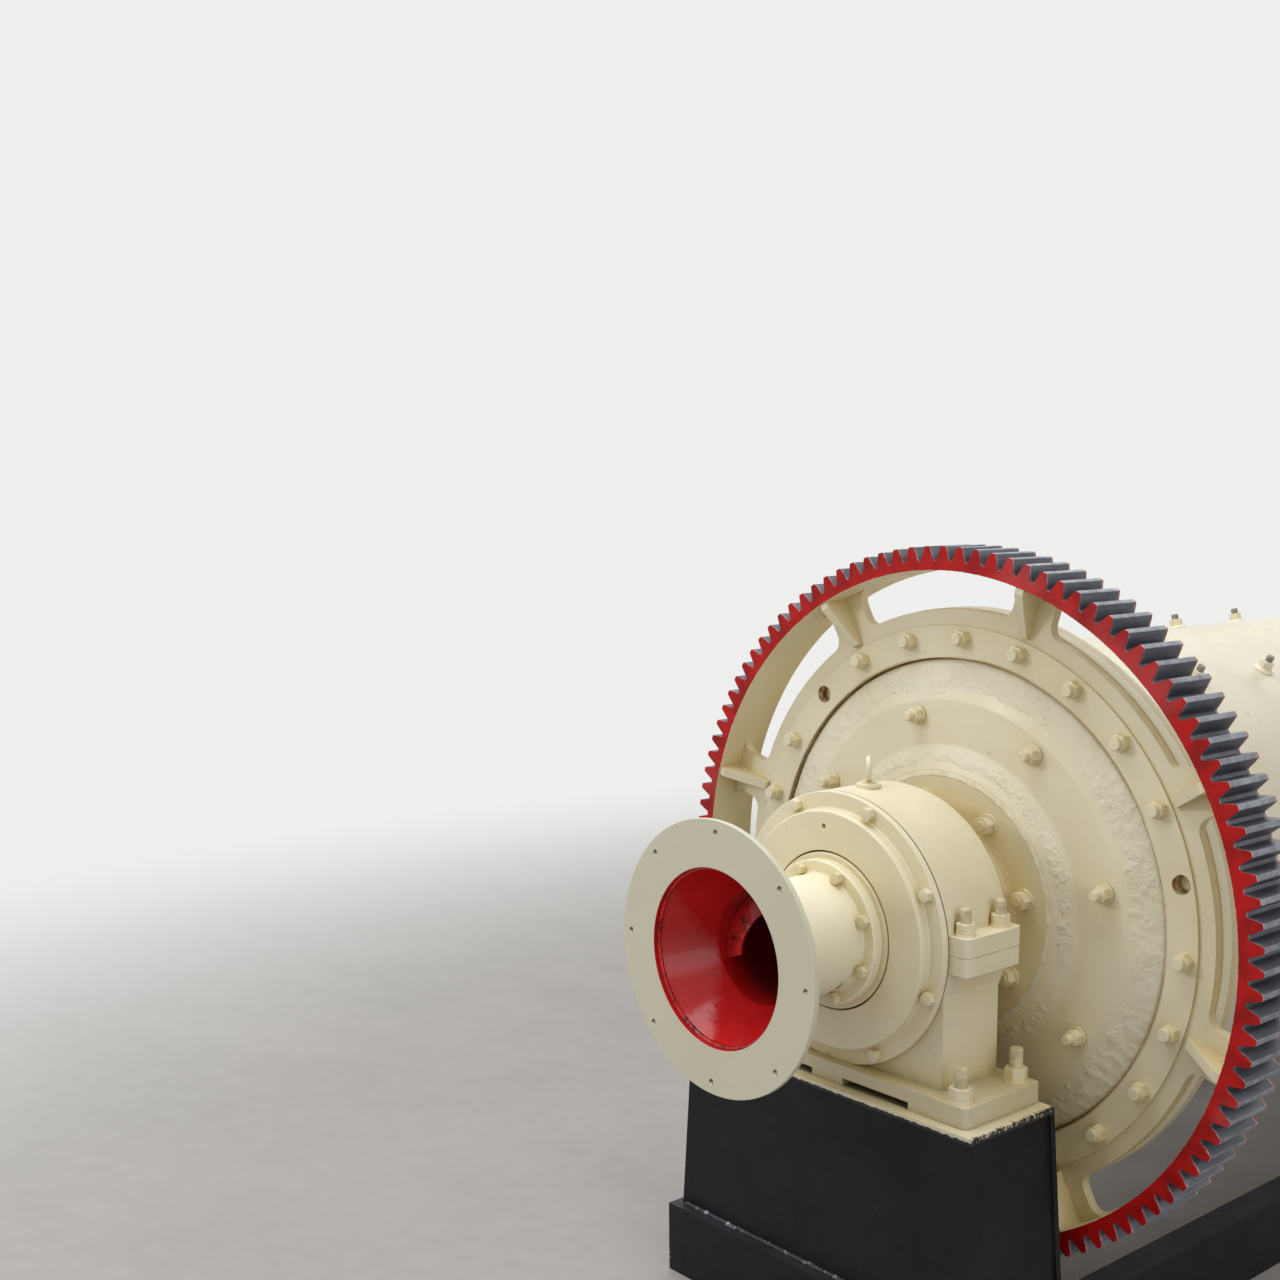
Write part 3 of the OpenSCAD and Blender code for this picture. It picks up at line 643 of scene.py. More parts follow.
def sole_finish():
    """Cream plate with the black of the pedestal brushed raggedly over its edges."""
    s = Shader("sole_finish")
    rag = s.noise(90.0, 4.0, 0.65)
    low = s.plus(s.minus(s.height(), PEDESTAL_TOP), s.times(rag, -0.012))
    below = s.ramp(low, 0.0004, -0.0012)
    hairs = s.ramp(s.noise(70.0, 4.0, 0.7, stretch=(0.3, 3.5, 1.0)), 0.42, 0.75, 0.0, 0.014)
    from_middle = s.maths("ABSOLUTE", s.split(s.place)[0])
    out = s.minus(s.minus(PEDESTAL_TOP_HALF, from_middle), hairs)
    beside = s.ramp(out, 0.0004, -0.0010)
    # Painted shade on the plate where it runs in under the foot's slots
    cream = s.mix(slot_shade(s), cream_colour(s, grime_and_shade=0.9), SLOT_SHADE)
    colour = s.mix(s.most(below, beside), cream, BLACK)
    lumps = s.bump(s.noise(70.0, 4.0, 0.6), 0.004, s.soft_edge(0.002), 0.6)
    return s.finish(colour, s.sheen(0.36, 0.55, 18.0, 2.0), lumps)


def red_gloss():
    """Wet-looking red of the spiral and the mouth weld, with a few dark nicks."""
    s = Shader("red_gloss")
    patches = s.ramp(s.noise(16.0, 3.0), 0.35, 0.68)
    colour = s.mix(patches, RED_GLOSS, GLOSS_DARK)
    nicks = s.ramp(s.noise(46.0, 4.0, 0.65), 0.55, 0.63, 0.0, 0.8)
    colour = s.mix(nicks, colour, NICK_DARK)
    height = s.plus(s.noise(34.0, 3.0), s.times(s.noise(160.0), 0.25))
    normal = s.bump(height, 0.0016, strength=0.5)
    return s.finish(colour, s.sheen(0.16, 0.34, 40.0), normal, specular=0.3, coat=0.2)


def tooth_steel(s, streak, from_edge):
    """Cut tooth flanks: painted shade in the gaps and on flanks that face down, pale on the lands from
    wear and painted highlight, with thin red near the tooth ends.
    """
    steel = s.mix(s.ramp(streak, 0.3, 0.7), STEEL_DARK, STEEL)
    smear = s.ramp(s.noise(18.0, 4.0, 0.6), 0.35, 0.70)
    steel = s.mix(s.times(smear, 0.35), steel, STEEL_DARK)
    # Painted shade between the teeth and on flanks that face down, however far the drum has turned
    gap_shade = s.ramp(s.hidden(0.03, own_shape=True), 0.35, 0.85, 0.0, 0.6)
    under_shade = s.ramp(s.facing_up(), 0.1, -0.6, 0.0, 0.2)
    steel = s.mix(s.most(gap_shade, under_shade), steel, NAVY_SHADE)
    # Pale lands: wear, and painted highlight where light catches the tips
    land = s.ramp(s.radius(), GEAR_TIP_R - 0.0012, GEAR_TIP_R - 0.0004)
    wear_and_highlight = s.ramp(s.noise(55.0, 4.0, 0.6), 0.30, 0.68, 0.12, 0.5)
    steel = s.mix(s.times(land, wear_and_highlight), steel, STEEL_LIGHT)
    fringe = s.ramp(from_edge, 0.0062, 0.0030)
    thin = s.ramp(s.noise(80.0, 3.0, 0.6), 0.40, 0.62, 0.1, 0.75)
    return s.mix(s.times(fringe, thin), steel, RED_THIN)


def sunk_bores(s, paint):
    """Stain in the gear's two clearance holes over bolts of the head."""
    x, _, z = s.split(s.place)
    for i in SUNK_PLACES:
        hole_x, _, hole_z = round_axis(FLANGE_CIRCLE, angles(FLANGE_PLACES, PHASE)[i], 0)
        off = s.length(s.minus(x, hole_x), s.minus(z, hole_z))
        blotches = s.ramp(s.noise(70.0, 3.0), 0.42, 0.58, 0.1, 0.8)
        bore = s.times(s.ramp(off, SUNK_HOLE_R + 0.0012, SUNK_HOLE_R + 0.0004), blotches)
        paint = s.mix(bore, paint, SUNK_STAIN)
    return paint


def gear_finish():
    """Red rim faces and tooth ends, bare cut tooth flanks, cream web and spokes."""
    s = Shader("gear_finish")
    r = s.radius()
    side = s.ramp(s.facing_axis(), 0.60, 0.75)
    wander = s.times(s.minus(s.noise(130.0, 3.0), 0.5), 0.005)
    on_rim = s.ramp(s.plus(r, wander), GEAR_RIM_R - 0.0015, GEAR_RIM_R + 0.0005)
    past_root = s.ramp(r, GEAR_ROOT_R - 0.004, GEAR_ROOT_R - 0.002)
    teeth = s.times(past_root, s.minus(1.0, side))
    from_middle = s.apart(s.station(), (GEAR_FRONT + GEAR_BACK) / 2)
    from_edge = s.minus((GEAR_FRONT - GEAR_BACK) / 2, from_middle)
    spray = s.ramp(s.plus(from_edge, s.times(wander, 1.2)), 0.0032, 0.0008)
    red_mask = s.most(s.times(side, on_rim), s.times(spray, teeth))
    red = s.mix(s.ramp(s.noise(20.0, 3.0), 0.35, 0.70), RED, RED_DARK)
    # Pinkish patches on the red rim: dust and painted sheen
    red = s.mix(s.ramp(s.noise(4.5), 0.54, 0.70, 0.0, 0.22), red, RED_DUST_AND_SHEEN)
    streak = s.noise(60.0, 4.0, 0.6, stretch=(1.0, 0.06, 1.0))
    steel = tooth_steel(s, streak, s.plus(from_edge, wander))
    paint = register_joint(s, sunk_bores(s, cream_colour(s, grime_and_shade=0.4)))
    colour = s.mix(red_mask, s.mix(teeth, paint, steel), red)
    bare = s.times(teeth, s.minus(1.0, red_mask))
    rough = s.plus(s.sheen(0.34, 0.50, 30.0), s.times(red_mask, -0.08))
    cut = s.bump(streak, 0.0006, s.soft_edge(0.0012), 0.4)
    normal = s.bump(s.noise(45.0, 4.0, 0.6), 0.0012, cut, 0.4)
    shine = s.plus(s.times(red_mask, -0.32), 0.5)
    return s.finish(colour, rough, normal, s.times(bare, 0.2), shine)


def disc_paint(s, on_disc, neck_paint):
    """Pale disc on the neck's lighter cream. The bores of its holes get painted shade above and painted
    light below.
    """
    pale = s.mix(s.ramp(s.noise(5.0, 4.0), 0.35, 0.7), PALE, PALE_DARK)
    near_hole = s.ramp(s.apart(s.radius(), DISC_HOLE_CIRCLE), 0.0080, 0.0065)
    bore = s.times(s.ramp(s.facing_axis(), 0.6, 0.3), near_hole, on_disc)
    # Painted light on bore walls that face up, painted shade on those that face down
    bore_light_and_shade = s.mix(s.ramp(s.facing_up(), 0.0, 0.7), BORE_SHADED, BORE_LIT)
    return s.mix(bore, s.mix(on_disc, neck_paint, pale), bore_light_and_shade)


def neck_crack(s):
    """Mask of the crack in the paint low on the neck, at the root of its flange."""
    x, y, z = s.split(s.place)
    station = s.maths("ABSOLUTE", y)
    low = s.ramp(z, AXIS_H - 0.060, AXIS_H - 0.085)
    near_side = s.ramp(x, -0.02, 0.02)
    before = s.ramp(station, NECK_FACE + 0.034, NECK_FACE + 0.026)
    behind = s.ramp(station, NECK_FACE + 0.014, NECK_FACE + 0.020)
    broken = s.ramp(s.noise(75.0, 4.0, 0.6), 0.44, 0.52)
    return s.times(s.times(low, near_side), s.times(before, behind), broken, 0.9)


def trumpet_finish():
    """Pale disc, cream neck made lighter as painted light, and red gloss in the cone and bore, darker
    deeper in as dirt and painted shade.
    """
    s = Shader("trumpet_finish")
    wander = s.times(s.minus(s.noise(120.0, 3.0), 0.5), 0.006)
    inside = s.ramp(s.facing_out(), -0.15, -0.30)
    small = s.ramp(s.plus(s.radius(), wander), MOUTH_R + 0.0035, MOUTH_R + 0.0015)
    red_mask = s.times(inside, small)
    red = s.mix(s.ramp(s.noise(12.0, 3.0), 0.35, 0.68, 0.0, 0.4), RED_GLOSS, GLOSS_DARK)
    # Darker deeper in the bore: dirt and painted shade
    depth = s.ramp(s.station(), CONE_BACK - 0.005, CONE_BACK - 0.070, 0.0, 0.75)
    red = s.mix(depth, red, GLOSS_DIRT_AND_SHADE)
    on_disc = s.ramp(s.station(), DISC_BACK - 0.002, DISC_BACK - 0.001)
    # Painted light: the neck gets a lighter copy of the cream
    paint = disc_paint(s, on_disc, cream_colour(s, CREAM_LIT, CREAM_LIT_DARK))
    colour = s.mix(neck_crack(s), s.mix(red_mask, paint, red), CRACK_BROWN)
    dull = s.times(s.sheen(0.34, 0.48), s.minus(1.0, red_mask))
    rough = s.plus(dull, s.times(red_mask, 0.11))
    wet = s.times(s.plus(s.noise(9.0, 1.0), s.times(s.noise(70.0, 3.0), 0.12)), red_mask)
    normal = s.bump(wet, 0.0030, enamel_bump(s, s.soft_edge(0.0012)), 0.6)
    shine = s.plus(s.times(red_mask, -0.16), 0.5)
    return s.finish(colour, rough, normal, specular=shine)


def bearing_steel():
    """Ground steel of the bearing rings."""
    s = Shader("bearing_steel")
    streak = s.noise(120.0, 3.0, 0.6, stretch=(1.0, 0.1, 1.0))
    colour = s.mix(s.ramp(streak, 0.3, 0.7), STEEL, STEEL_LIGHT)
    return s.finish(colour, s.ramp(streak, 0.3, 0.7, 0.28, 0.42), s.bump(streak, 0.0003), 0.9)


def speckled(name, colour, speck, low=0.35, high=0.7):
    """Welds and stud ends, in one colour with specks of another."""
    s = Shader(name)
    shade = s.mix(s.ramp(s.noise(60.0, 4.0, 0.6), low, high), colour, speck)
    normal = s.bump(s.noise(180.0, 3.0), 0.0012, strength=0.6)
    return s.finish(shade, s.sheen(0.4, 0.6, 50.0, 2.0), normal)


def floor_finish():
    """Pale concrete that fades into the backdrop away from the mill."""
    s = Shader("concrete_floor")
    cloud = s.ramp(s.noise(1.4, 6.0, 0.6), 0.3, 0.7)
    fine = s.ramp(s.noise(18.0, 5.0, 0.65), 0.35, 0.7)
    colour = s.mix(s.times(cloud, 0.6), CONCRETE, CONCRETE_DARK)
    colour = s.mix(s.times(fine, 0.25), colour, CONCRETE_LIGHT)
    s.finish(colour, s.sheen(0.55, 0.75, 6.0, 2.0), s.bump(fine, 0.0008, strength=0.3))
    x, y, _ = s.split(s.place)
    away = s.ramp(s.length(s.times(x, 1.3), y), 2.2, 6.5)
    glow = s.node("ShaderNodeEmission")
    s.feed(glow.inputs["Color"], BACKDROP)
    blend = s.node("ShaderNodeMixShader")
    s.feed(blend.inputs[0], s.times(away, seen_rays(s.tree)))
    s.feed(blend.inputs[1], s.coat.outputs[0])
    s.feed(blend.inputs[2], glow.outputs[0])
    s.feed(s.out.inputs[0], blend.outputs[0])
    return s.material


# Mesh building

ROUND = 32
BEAD_SIDES = 8
WASHER_T = 0.003


class Build:
    """Gathers points and faces of one piece."""

    def __init__(self):
        self.points = []
        self.faces = []
        self.marks = []
        self.mark = 0

    def add(self, points, faces, place):
        first = len(self.points)
        self.points += [place @ Vector(p) for p in points]
        self.faces += [[first + i for i in f] for f in faces]
        self.marks += [self.mark] * len(faces)

    def grid(self, rows, place=Matrix.Identity(4), caps=False):
        """Joins closed rows of equally many points, with a face on the first and last if asked."""
        n = len(rows[0])
        points = [p for row in rows for p in row]
        faces = []
        for i in range(len(rows) - 1):
            for j in range(n):
                k = (j + 1) % n
                faces.append([i * n + j, i * n + k, (i + 1) * n + k, (i + 1) * n + j])
        if caps:
            faces.append(list(range(n))[::-1])
            faces.append(list(range(len(points) - n, len(points))))
        self.add(points, faces, place)

    def piece(self, name, body, slot_name, *materials, smooth=35):
        """Makes the object. Faces take the material whose number was the mark when they were added."""
        data = bpy.data.meshes.new(name)
        data.from_pydata(self.points, [], self.faces)
        for m in materials:
            data.materials.append(m)
        data.polygons.foreach_set("material_index", self.marks)
        data.validate()
        data.shade_smooth()
        data.set_sharp_from_angle(angle=math.radians(smooth))
        data.update()
        obj = bpy.data.objects.new(name, data)
        link(obj)
        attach(obj, body)
        return obj


def polar(r, angle, z):
    return (r * math.cos(angle), r * math.sin(angle), z)


def circle(r, z, n, turn=0.0):
    return [polar(r, angle, z) for angle in angles(n, turn)]


def lathe(build, profile, place, n=ROUND):
    """Turned solid from (radius, height) pairs, its first and last rows capped."""
    build.grid([circle(r, z, n) for r, z in profile], place, caps=True)


def hexagon(build, across, height, place, base=0.0, turn=0.0):
    """Hexagon head or nut with its top corners chamfered by a cone."""
    n = 48
    flat = across / 2 * 0.97
    top = flat * 0.96
    slope = 0.55
    low = []
    high = []
    for angle in angles(n, 0.0):
        reach = across / 2 / math.cos((angle % (math.pi / 3)) - math.pi / 6)
        low.append(polar(reach, angle + turn, base))
        high.append(polar(reach, angle + turn, base + height - max(0, reach - flat) * slope))
    build.grid([low, high, circle(top, base + height, n, turn)], place, caps=True)


def thread(build, d, z_from, z_to, place, pitch=0.0025):
    """Screw thread with a chamfered end."""
    n = 20
    depth = 0.0011
    chamfer = 0.0016
    chamfer_h = 0.002
    steps = max(4, int((z_to - z_from) / pitch * 4))
    rows = []
    for i in range(steps + 1):
        z = z_from + (z_to - z_from) * i / steps
        fade = min(1.0, (z_to - z) / chamfer_h)
        row = []
        for j in range(n):
            turn = (z / pitch - j / n) % 1.0
            dip = abs(turn * 2 - 1)
            row.append(polar(d / 2 - depth * dip - chamfer * (1 - fade), math.tau * j / n, z))
        rows.append(row)
    build.grid(rows, place, caps=True)


def washer(build, d, place):
    r = d / 2
    lathe(build, [(r, 0), (r, WASHER_T * 0.7), (r - WASHER_T * 0.3, WASHER_T)], place)


# Bolts

# Both kinds of chance have a fixed seed, so that every run makes the same pieces
dice = random.Random(7)
noise.seed_set(7)


def any_turn():
    """How far a nut or bolt head happens to be turned."""
    return dice.uniform(0, math.pi / 3)


def bolt_head(build, place, across, height):
    hexagon(build, across, height, place, turn=any_turn())


def stud_and_nut(build, place, d, across, nut_h, proud, washer_d=0.0):
    """Nut on a stud whose end is thick with paint."""
    base = 0.0
    if washer_d:
        washer(build, washer_d, place)
        base = WASHER_T
    hexagon(build, across, nut_h, place, base, any_turn())
    lathe(build, [(d / 2, base + nut_h - 0.001), (d / 2, proud - 0.001), (d / 2 - 0.001, proud)], place)


def long_stud(build, place, d, start, rise, washer_d, nut_h, pitch):
    """Stud from down in a casting, with a washer, a nut and a bare thread on top."""
    lathe(build, [(d / 2, start), (d / 2, 0.001)], place, 24)
    washer(build, washer_d, place)
    hexagon(build, 1.5 * d, nut_h, place, WASHER_T, any_turn())
    build.mark = 1
    thread(build, d, d, rise, place, pitch)
    build.mark = 0


def flange_bolts(end, material):
    """Studs that hold head and gear to the shell flange; two of them end below the gear."""
    build = Build()
    face = PAD_FACE if end == "discharge" else HEAD_FACE
    for i, angle in enumerate(angles(FLANGE_PLACES, PHASE)):
        if end == "discharge" and i in SUNK_PLACES:
            sunk = along_axis(end, FLANGE_CIRCLE, angle, HEAD_FACE)
            lathe(build, [(0.0122, 0), (0.0122, 0.0045), (0.0110, 0.0055)], sunk)
        else:
            place = along_axis(end, FLANGE_CIRCLE, angle, face)
            stud_and_nut(build, place, d=0.0225, across=0.0285, nut_h=0.0165, proud=0.0265)
        back = inward(along_axis(end, FLANGE_CIRCLE, angle, SHELL_HALF - SHELL_FLANGE_T))
        bolt_head(build, back, across=0.030, height=0.0125)
    build.piece(end + "_flange_bolts", "drum", "cream_paint", material)


def head_bolts(end, material):
    """Studs and nuts on the head's ring and on the trunnion's flange."""
    build = Build()
    for outer, inner in zip(angles(BOLTS_ROUND, RING_FIRST), angles(BOLTS_ROUND, TRUNNION_FIRST)):
        on_ring = along_axis(end, RING_CIRCLE, outer, RING_FACE)
        stud_and_nut(build, on_ring, d=0.018, across=0.027, nut_h=0.017, proud=0.035, washer_d=0.037)
        on_flange = along_axis(end, TRUNNION_CIRCLE, inner, TRUNNION_FACE)
        stud_and_nut(build, on_flange, d=0.019, across=0.030, nut_h=0.0195, proud=0.024, washer_d=0.041)
    build.piece(end + "_head_bolts", "drum", "cream_paint", material)


def neck_bolts(end, material):
    """Bolts of the neck's flange."""
    build = Build()
    for angle in angles(BOLTS_ROUND, NECK_FIRST):
        place = along_axis(end, NECK_CIRCLE, angle, NECK_FACE)
        bolt_head(build, place, across=0.0195, height=0.013)
    build.piece(end + "_neck_bolts", "drum", "cream_paint", material)


def cover_bolts(end, material):
    """Bolts of a bearing's outer and inner cover."""
    build = Build()
    for angle in angles(BOLTS_ROUND, COVER_FIRST):
        front = along_axis(end, COVER_CIRCLE, angle, COVER_RIM)
        bolt_head(build, front, across=0.021, height=0.0125)
        back = inward(along_axis(end, INNER_COVER_CIRCLE, angle, INNER_COVER))
        bolt_head(build, back, across=0.022, height=0.008)
    build.piece(end + "_cover_bolts", "root", "cream_paint", material)


def liner_bolts(material, bare):
    """Bolts of the liner plates, in rows along the shell, each on a cup washer."""
    build = Build()
    along = Vector((0, 1, 0))
    for angle in angles(LINER_ROWS, LINER_FIRST):
        out = Vector((math.cos(angle), 0, math.sin(angle)))
        for k in range(-3, 4):
            spot = round_axis(SHELL_R - 0.001, angle, LINER_PITCH * k + LINER_SHIFT)
            place = place_at(spot, along, along.cross(out), out)
            lathe(build, [(0.020, 0), (0.020, 0.003), (0.014, 0.0085)], place)
            hexagon(build, 0.024, 0.0145, place, 0.008, any_turn())
            build.mark = 1
            thread(build, 0.016, z_from=0.022, z_to=0.035, place=place)
            build.mark = 0
    build.piece("liner_bolts", "drum", "cream_paint", material, bare)


def stud_places(end, half_span, middle, pitch, height):
    """The four places at the corners of one bearing."""
    return [upright(sx * half_span, SIDE[end] * middle + sy * pitch / 2, height)
            for sx in (-1, 1) for sy in (-1, 1)]


def cap_studs(end, material, bare):
    """Studs that hold the bearing's cap, in place of the plain ones of the construction."""
    build = Build()
    for place in stud_places(end, CAP_STUD_X, BEARING_MID, CAP_STUD_PITCH, AXIS_H + EAR_T):
        long_stud(build, place, CAP_STUD_D, CAP_STUD_START, CAP_STUD_RISE,
                  washer_d=0.036, nut_h=0.018, pitch=0.0025)
    piece = build.piece(end + "_cap_studs", "root", "cream_paint", material, bare)
    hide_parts(end + "_cap_bolts")


def foot_studs(end, material, bare):
    """Studs that hold the bearing down, in place of the plain ones of the construction."""
    build = Build()
    for place in stud_places(end, FOOT_STUD_SPAN / 2, FOOT_MID, FOOT_STUD_PITCH, FOOT_TOP):
        long_stud(build, place, FOOT_STUD_D, FOOT_STUD_START, FOOT_STUD_RISE,
                  washer_d=0.043, nut_h=0.0215, pitch=0.003)
    piece = build.piece(end + "_foot_studs", "root", "cream_paint", material, bare)
    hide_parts(end + "_foot_bolts")


# Cast skin and thick paint

HEAD_PROFILE = [
    (TRUNNION_FLANGE_R, BOSS_H),
    (TRUNNION_FLANGE_R + 0.008, BOSS_H - 0.001),
    (RING_INNER_R, RING_H),
    (RING_OUTER_R, RING_H - 0.003),
    (REGISTER_R, REGISTER_H),
]


def head_height(r):
    """Height of the head's face above its flange face at a radius, as in its turned profile."""
    for (r0, h0), (r1, h1) in zip(HEAD_PROFILE, HEAD_PROFILE[1:]):
        if r <= r1:
            return h0 + (h1 - h0) * (r - r0) / (r1 - r0)
    return REGISTER_H


def over_head(end, r, angle, rise):
    """The point at a rise above the head's face."""
    return round_axis(r, angle, SIDE[end] * (HEAD_FACE + head_height(r) + rise))


def cast_relief(spot):
    """Rise of a sand-cast skin at a spot: lumps and ridges that come and go, and slow slumps."""
    warp = spot + noise.noise_vector(spot * 20) * 0.012
    wild = 0.45 + 0.9 * max(0.0, min(1.0, 0.5 + 1.6 * noise.noise(spot * 7)))
    lump = 0.0014 * noise.noise(warp * 62)
    ridge = 0.0014 * (0.5 - abs(noise.noise(warp * 110)))
    fine = 0.0006 * noise.noise(warp * 190)
    return wild * (lump + ridge + fine) + 0.0009 * noise.noise(spot * 14)


def cast_skin(end, r_in, r_out, name, material, fade_out=True):
    """Unmachined cast surface of one zone of the head. It fades out raggedly into the turned faces."""
    build = Build()
    steps_round = angles(720, 0.0)
    last = max(8, int((r_out - r_in) / 0.0035))
    rows = []
    for i in range(last + 1):
        r = r_in + (r_out - r_in) * i / last
        from_outside = last - i if fade_out else last
        edge = min(1.0, 2.4 * i / last, 2.4 * from_outside / last)
        row = []
        for angle in steps_round:
            spot = Vector((r * math.cos(angle), SIDE[end] * 2.0, r * math.sin(angle)))
            rise = cast_relief(spot) + 0.0008 * edge - 0.0024 * (1 - edge)
            row.append(over_head(end, r, angle, -0.004 if i in (0, last) else rise))
        rows.append(row)
    for r in (r_out, r_in):
        rows.append([over_head(end, r, angle, -0.009) for angle in steps_round])
    rows.append(rows[0])
    build.grid(rows)
    build.piece(name, "drum", "cream_paint", material, smooth=180)


def boss_bead(end, material):
    """Thick paint that bridges the step between the trunnion's flange and the head."""
    build = Build()
    profile = [(-0.0045, -0.0004), (-0.0040, 0.0002), (-0.0018, 0.0003), (0.0002, -0.0004),
               (0.0028, -0.0014), (0.0060, -0.0018), (0.0062, -0.0024)]
    rows = []
    for past_edge, over_face in profile:
        ring = circle(TRUNNION_FLANGE_R + past_edge, TRUNNION_FACE + over_face, 360)
        rows.append([(x, y, z + 0.0007 * noise.noise(Vector((x, y, 0)) * 45)) for x, y, z in ring])
    rows.append(rows[0])
    build.grid(rows, along_axis(end, 0.0, 0.0, 0.0))
    build.piece(end + "_boss_bead", "drum", "cream_paint", material, smooth=180)


def eye_pads(material):
    """Flat pads of paint and filler round the seats of the lifting eyes."""
    build = Build()
    for side in SIDE.values():
        place = upright(0, side * (BEARING_MID + EYE_OUT), AXIS_H + EYE_SEAT_H)
        lathe(build, [(0.0225, -0.003), (0.0225, 0.0035), (0.0215, 0.0045)], place, 40)
    build.piece("eye_pads", "root", "cream_paint", material)


# Welds

def swell(i, ripple, rng):
    """Width of a hand-laid bead at a step, as a share of its mean width."""
    return 1 + ripple * math.cos(i * math.tau / 3) + rng.uniform(-0.10, 0.10)


def bead(build, start, stop, width, normal, rng):
    """A hand-laid fillet weld between two points."""
    start, stop, normal = Vector(start), Vector(stop), Vector(normal).normalized()
    ahead = (stop - start).normalized()
    side = ahead.cross(normal)
    length = (stop - start).length
    steps = max(6, int(length / 0.0035))
    rows = []
    for i in range(steps + 1):
        share = swell(i, 0.16, rng)
        if i in (0, steps):
            share = 0.35
        centre = start + ahead * (length * i / steps)
        rows.append([centre + (side * x + normal * y) * width / 2 * share
                     for x, y, _ in circle(1.0, 0.0, BEAD_SIDES)])
    build.grid(rows, caps=True)


def ring_bead(build, end, radius, station, width, rng):
    """A hand-laid weld that runs round the mill axis."""
    rows = []
    for i, angle in enumerate(angles(260, 0.0)):
        half = width / 2 * swell(i, 0.12, rng)
        place = along_axis(end, radius, angle, station)
        rows.append([place @ Vector((x, 0, y)) for x, y, _ in circle(half, 0.0, BEAD_SIDES)])
    rows.append(rows[0])
    build.grid(rows)


def shell_weld(material):
    """The longitudinal seam of the shell plate, sunk a little into the plate."""
    build = Build()
    rng = random.Random(3)
    width = 0.011
    crown = 0.0022
    sunk = 0.001
    last = 6
    steps = 420
    half = SHELL_HALF - SHELL_FLANGE_T - 0.006
    rows = []
    for i in range(steps + 1):
        y = -half + 2 * half * i / steps
        ripple = 0.0002 * math.cos(i * math.tau / 4)
        row = []
        for j in range(last + 1):
            share = j / last - 0.5
            across = share * (width + rng.uniform(-0.0008, 0.0008))
            rise = crown * math.cos(share * math.pi) + ripple - sunk
            row.append(round_axis(SHELL_R + rise, SEAM_ANGLE + across / SHELL_R, y))
        for share in (0.5, -0.5):
            row.append(round_axis(SHELL_R - 3 * sunk, SEAM_ANGLE + share * width / SHELL_R, y))
        rows.append(row)
    build.grid(rows, caps=True)
    build.piece("shell_weld", "drum", "cream_paint", material, smooth=50)


def trumpet_welds(material):
    """The weld between the trumpet's cone and its disc."""
    build = Build()
    rng = random.Random(5)
    ring_bead(build, "discharge", MOUTH_R - 0.0015, DISC_BACK - 0.0010, 0.008, rng)
    build.piece("trumpet_welds", "drum", "red_paint", material, smooth=60)


def frame_welds(material):
    """Fillets at the feet of the pedestals and up the corners of the base."""
    build = Build()
    rng = random.Random(11)
    foot = PEDESTAL_FOOT_HALF - PLATE_STEP
    inset = 0.004
    for sy in (-1, 1):
        for sx in (-1, 1):
            bead(build, (sx * foot, sy * (PEDESTAL_INNER + inset), BASE_H),
                 (sx * foot, sy * (PEDESTAL_OUTER - inset), BASE_H), 0.011, (sx, 0, 1), rng)
            corner = (sx * (BASE_HALF_W - 0.001), sy * (BASE_HALF_LEN - 0.001))
            bead(build, (*corner, 0.006), (*corner, BASE_H - inset), 0.004, (sx, sy, 0), rng)
        for y, facing in ((PEDESTAL_OUTER, sy), (PEDESTAL_INNER, -sy)):
            reach = PEDESTAL_FOOT_HALF - 0.006
            bead(build, (-reach, sy * y, BASE_H + 0.001), (reach, sy * y, BASE_H + 0.001),
                 0.010, (0, facing, 1), rng)
    build.piece("frame_welds", "root", "black_paint", material, smooth=60)


# Assembly

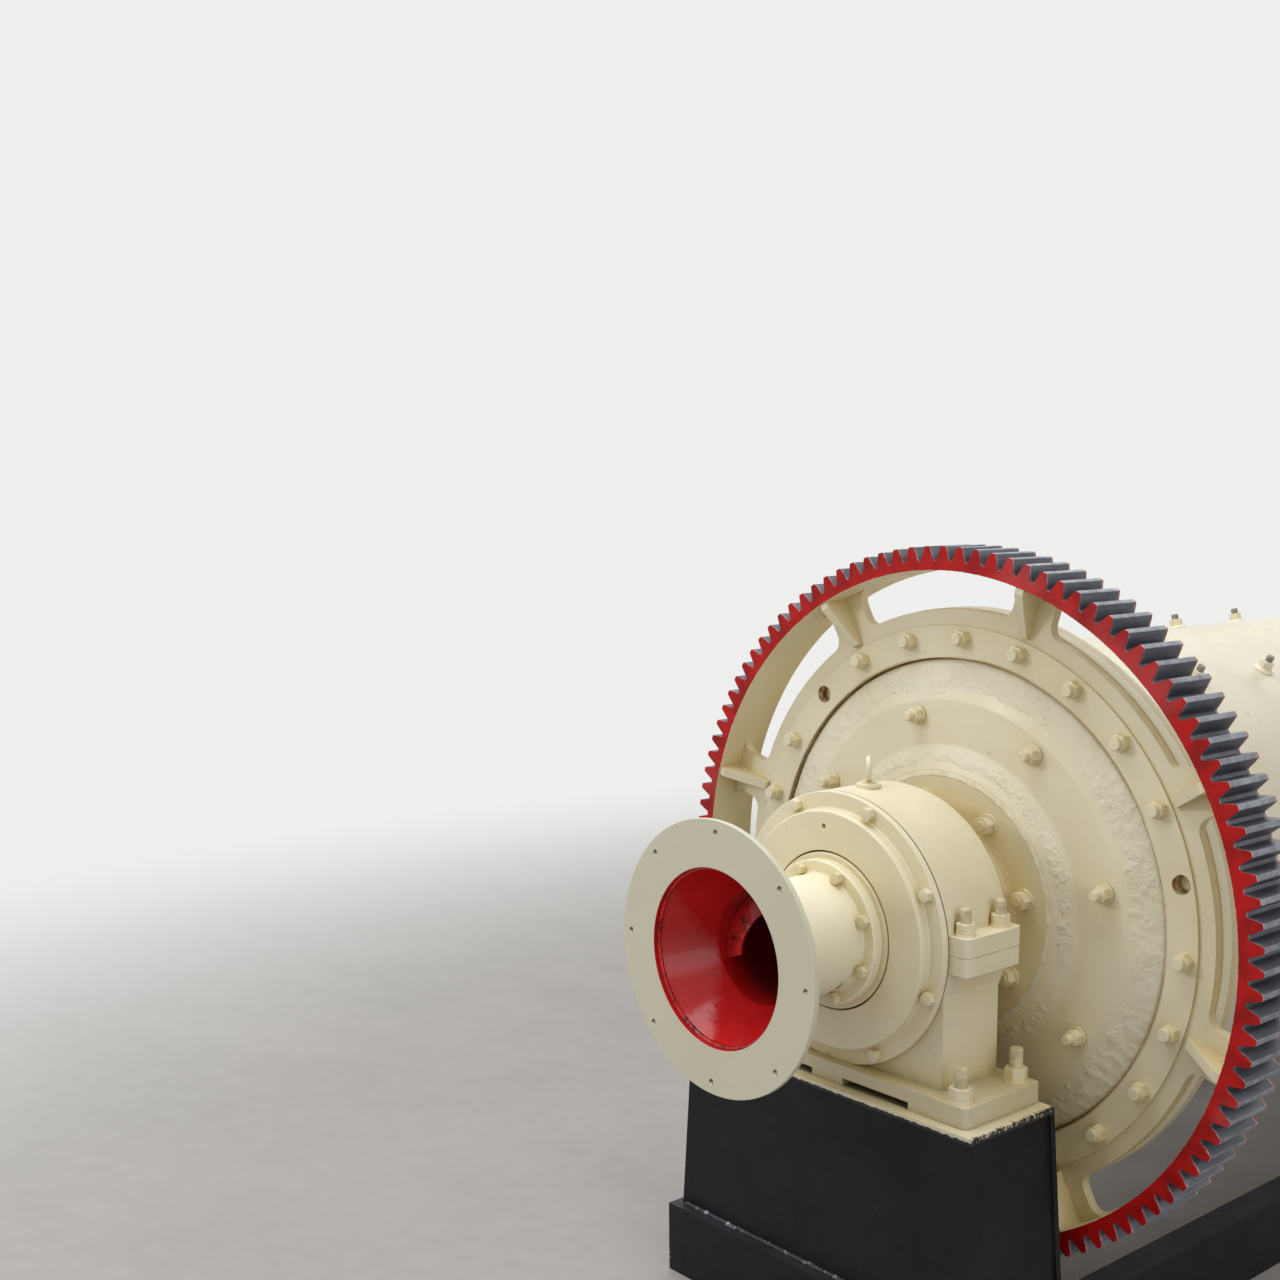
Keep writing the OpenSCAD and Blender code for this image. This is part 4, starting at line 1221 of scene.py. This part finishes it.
def paint_nodes(gloss):
    """Gives every CAD node its material, by the first of these words in its name, or the last one."""
    black = black_enamel()
    cast = cream_cast()
    looks = {
        "rail": black,
        "beam": black,
        "pedestal": black,
        "_head": head_paint(),
        "bearing_base": cast,
        "bearing_cap": cast,
        "bearing_ring": bearing_steel(),
        "sole_plate": sole_finish(),
        "outer_cover": cover_paint(),
        "drum_shell": shell_paint(),
        "girth_gear": gear_finish(),
        "discharge_trumpet": trumpet_finish(),
        "discharge_spiral": gloss,
        "": cream_enamel("cream_enamel", 0.0018),
    }
    for name in nodes:
        materials = nodes[name].data.materials
        materials.clear()
        materials.append(next(look for word, look in looks.items() if word in name))


def make_pieces(gloss):
    """Makes every piece that the construction leaves to this script."""
    bolt = cream_enamel("cream_bolts", 0.0005)
    rough_cast = cream_rough()
    seam = speckled("cream_weld", CREAM, CREAM_DARK)
    bare_stud = speckled("bare_stud", STUD_BARE, STUD_BARE_DARK)
    dull_stud = speckled("dull_stud", STUD_DULL, STUD_DULL_DARK)
    for end in SIDE:
        flange_bolts(end, bolt)
        head_bolts(end, bolt)
        neck_bolts(end, bolt)
        cover_bolts(end, bolt)
        cap_studs(end, bolt, dull_stud)
        foot_studs(end, bolt, dull_stud)
        cast_skin(end, RING_OUTER_R - 0.001, REGISTER_R - 0.0009, end + "_outer_cast_skin",
                  rough_cast, fade_out=False)
        cast_skin(end, TRUNNION_FLANGE_R + 0.0035, RING_INNER_R + 0.003, end + "_inner_cast_skin",
                  rough_cast)
        boss_bead(end, seam)
    liner_bolts(bolt, bare_stud)
    shell_weld(seam)
    eye_pads(bolt)
    frame_welds(speckled("black_weld", BLACK_WELD, WELD_SPECK, 0.56, 0.68))
    trumpet_welds(gloss)


def make_floor():
    """A floor that ends far outside the picture."""
    reach = 14
    data = bpy.data.meshes.new("floor")
    corners = [(-reach, -reach, 0), (reach, -reach, 0), (reach, reach, 0), (-reach, reach, 0)]
    data.from_pydata(corners, [], [(0, 1, 2, 3)])
    data.materials.append(floor_finish())
    floor = bpy.data.objects.new("floor", data)
    link(floor)


make_camera()
make_lights()
make_world()
red_paint = red_gloss()
paint_nodes(red_paint)
make_pieces(red_paint)
make_floor()

bpy.context.scene.view_settings.view_transform = "Standard"
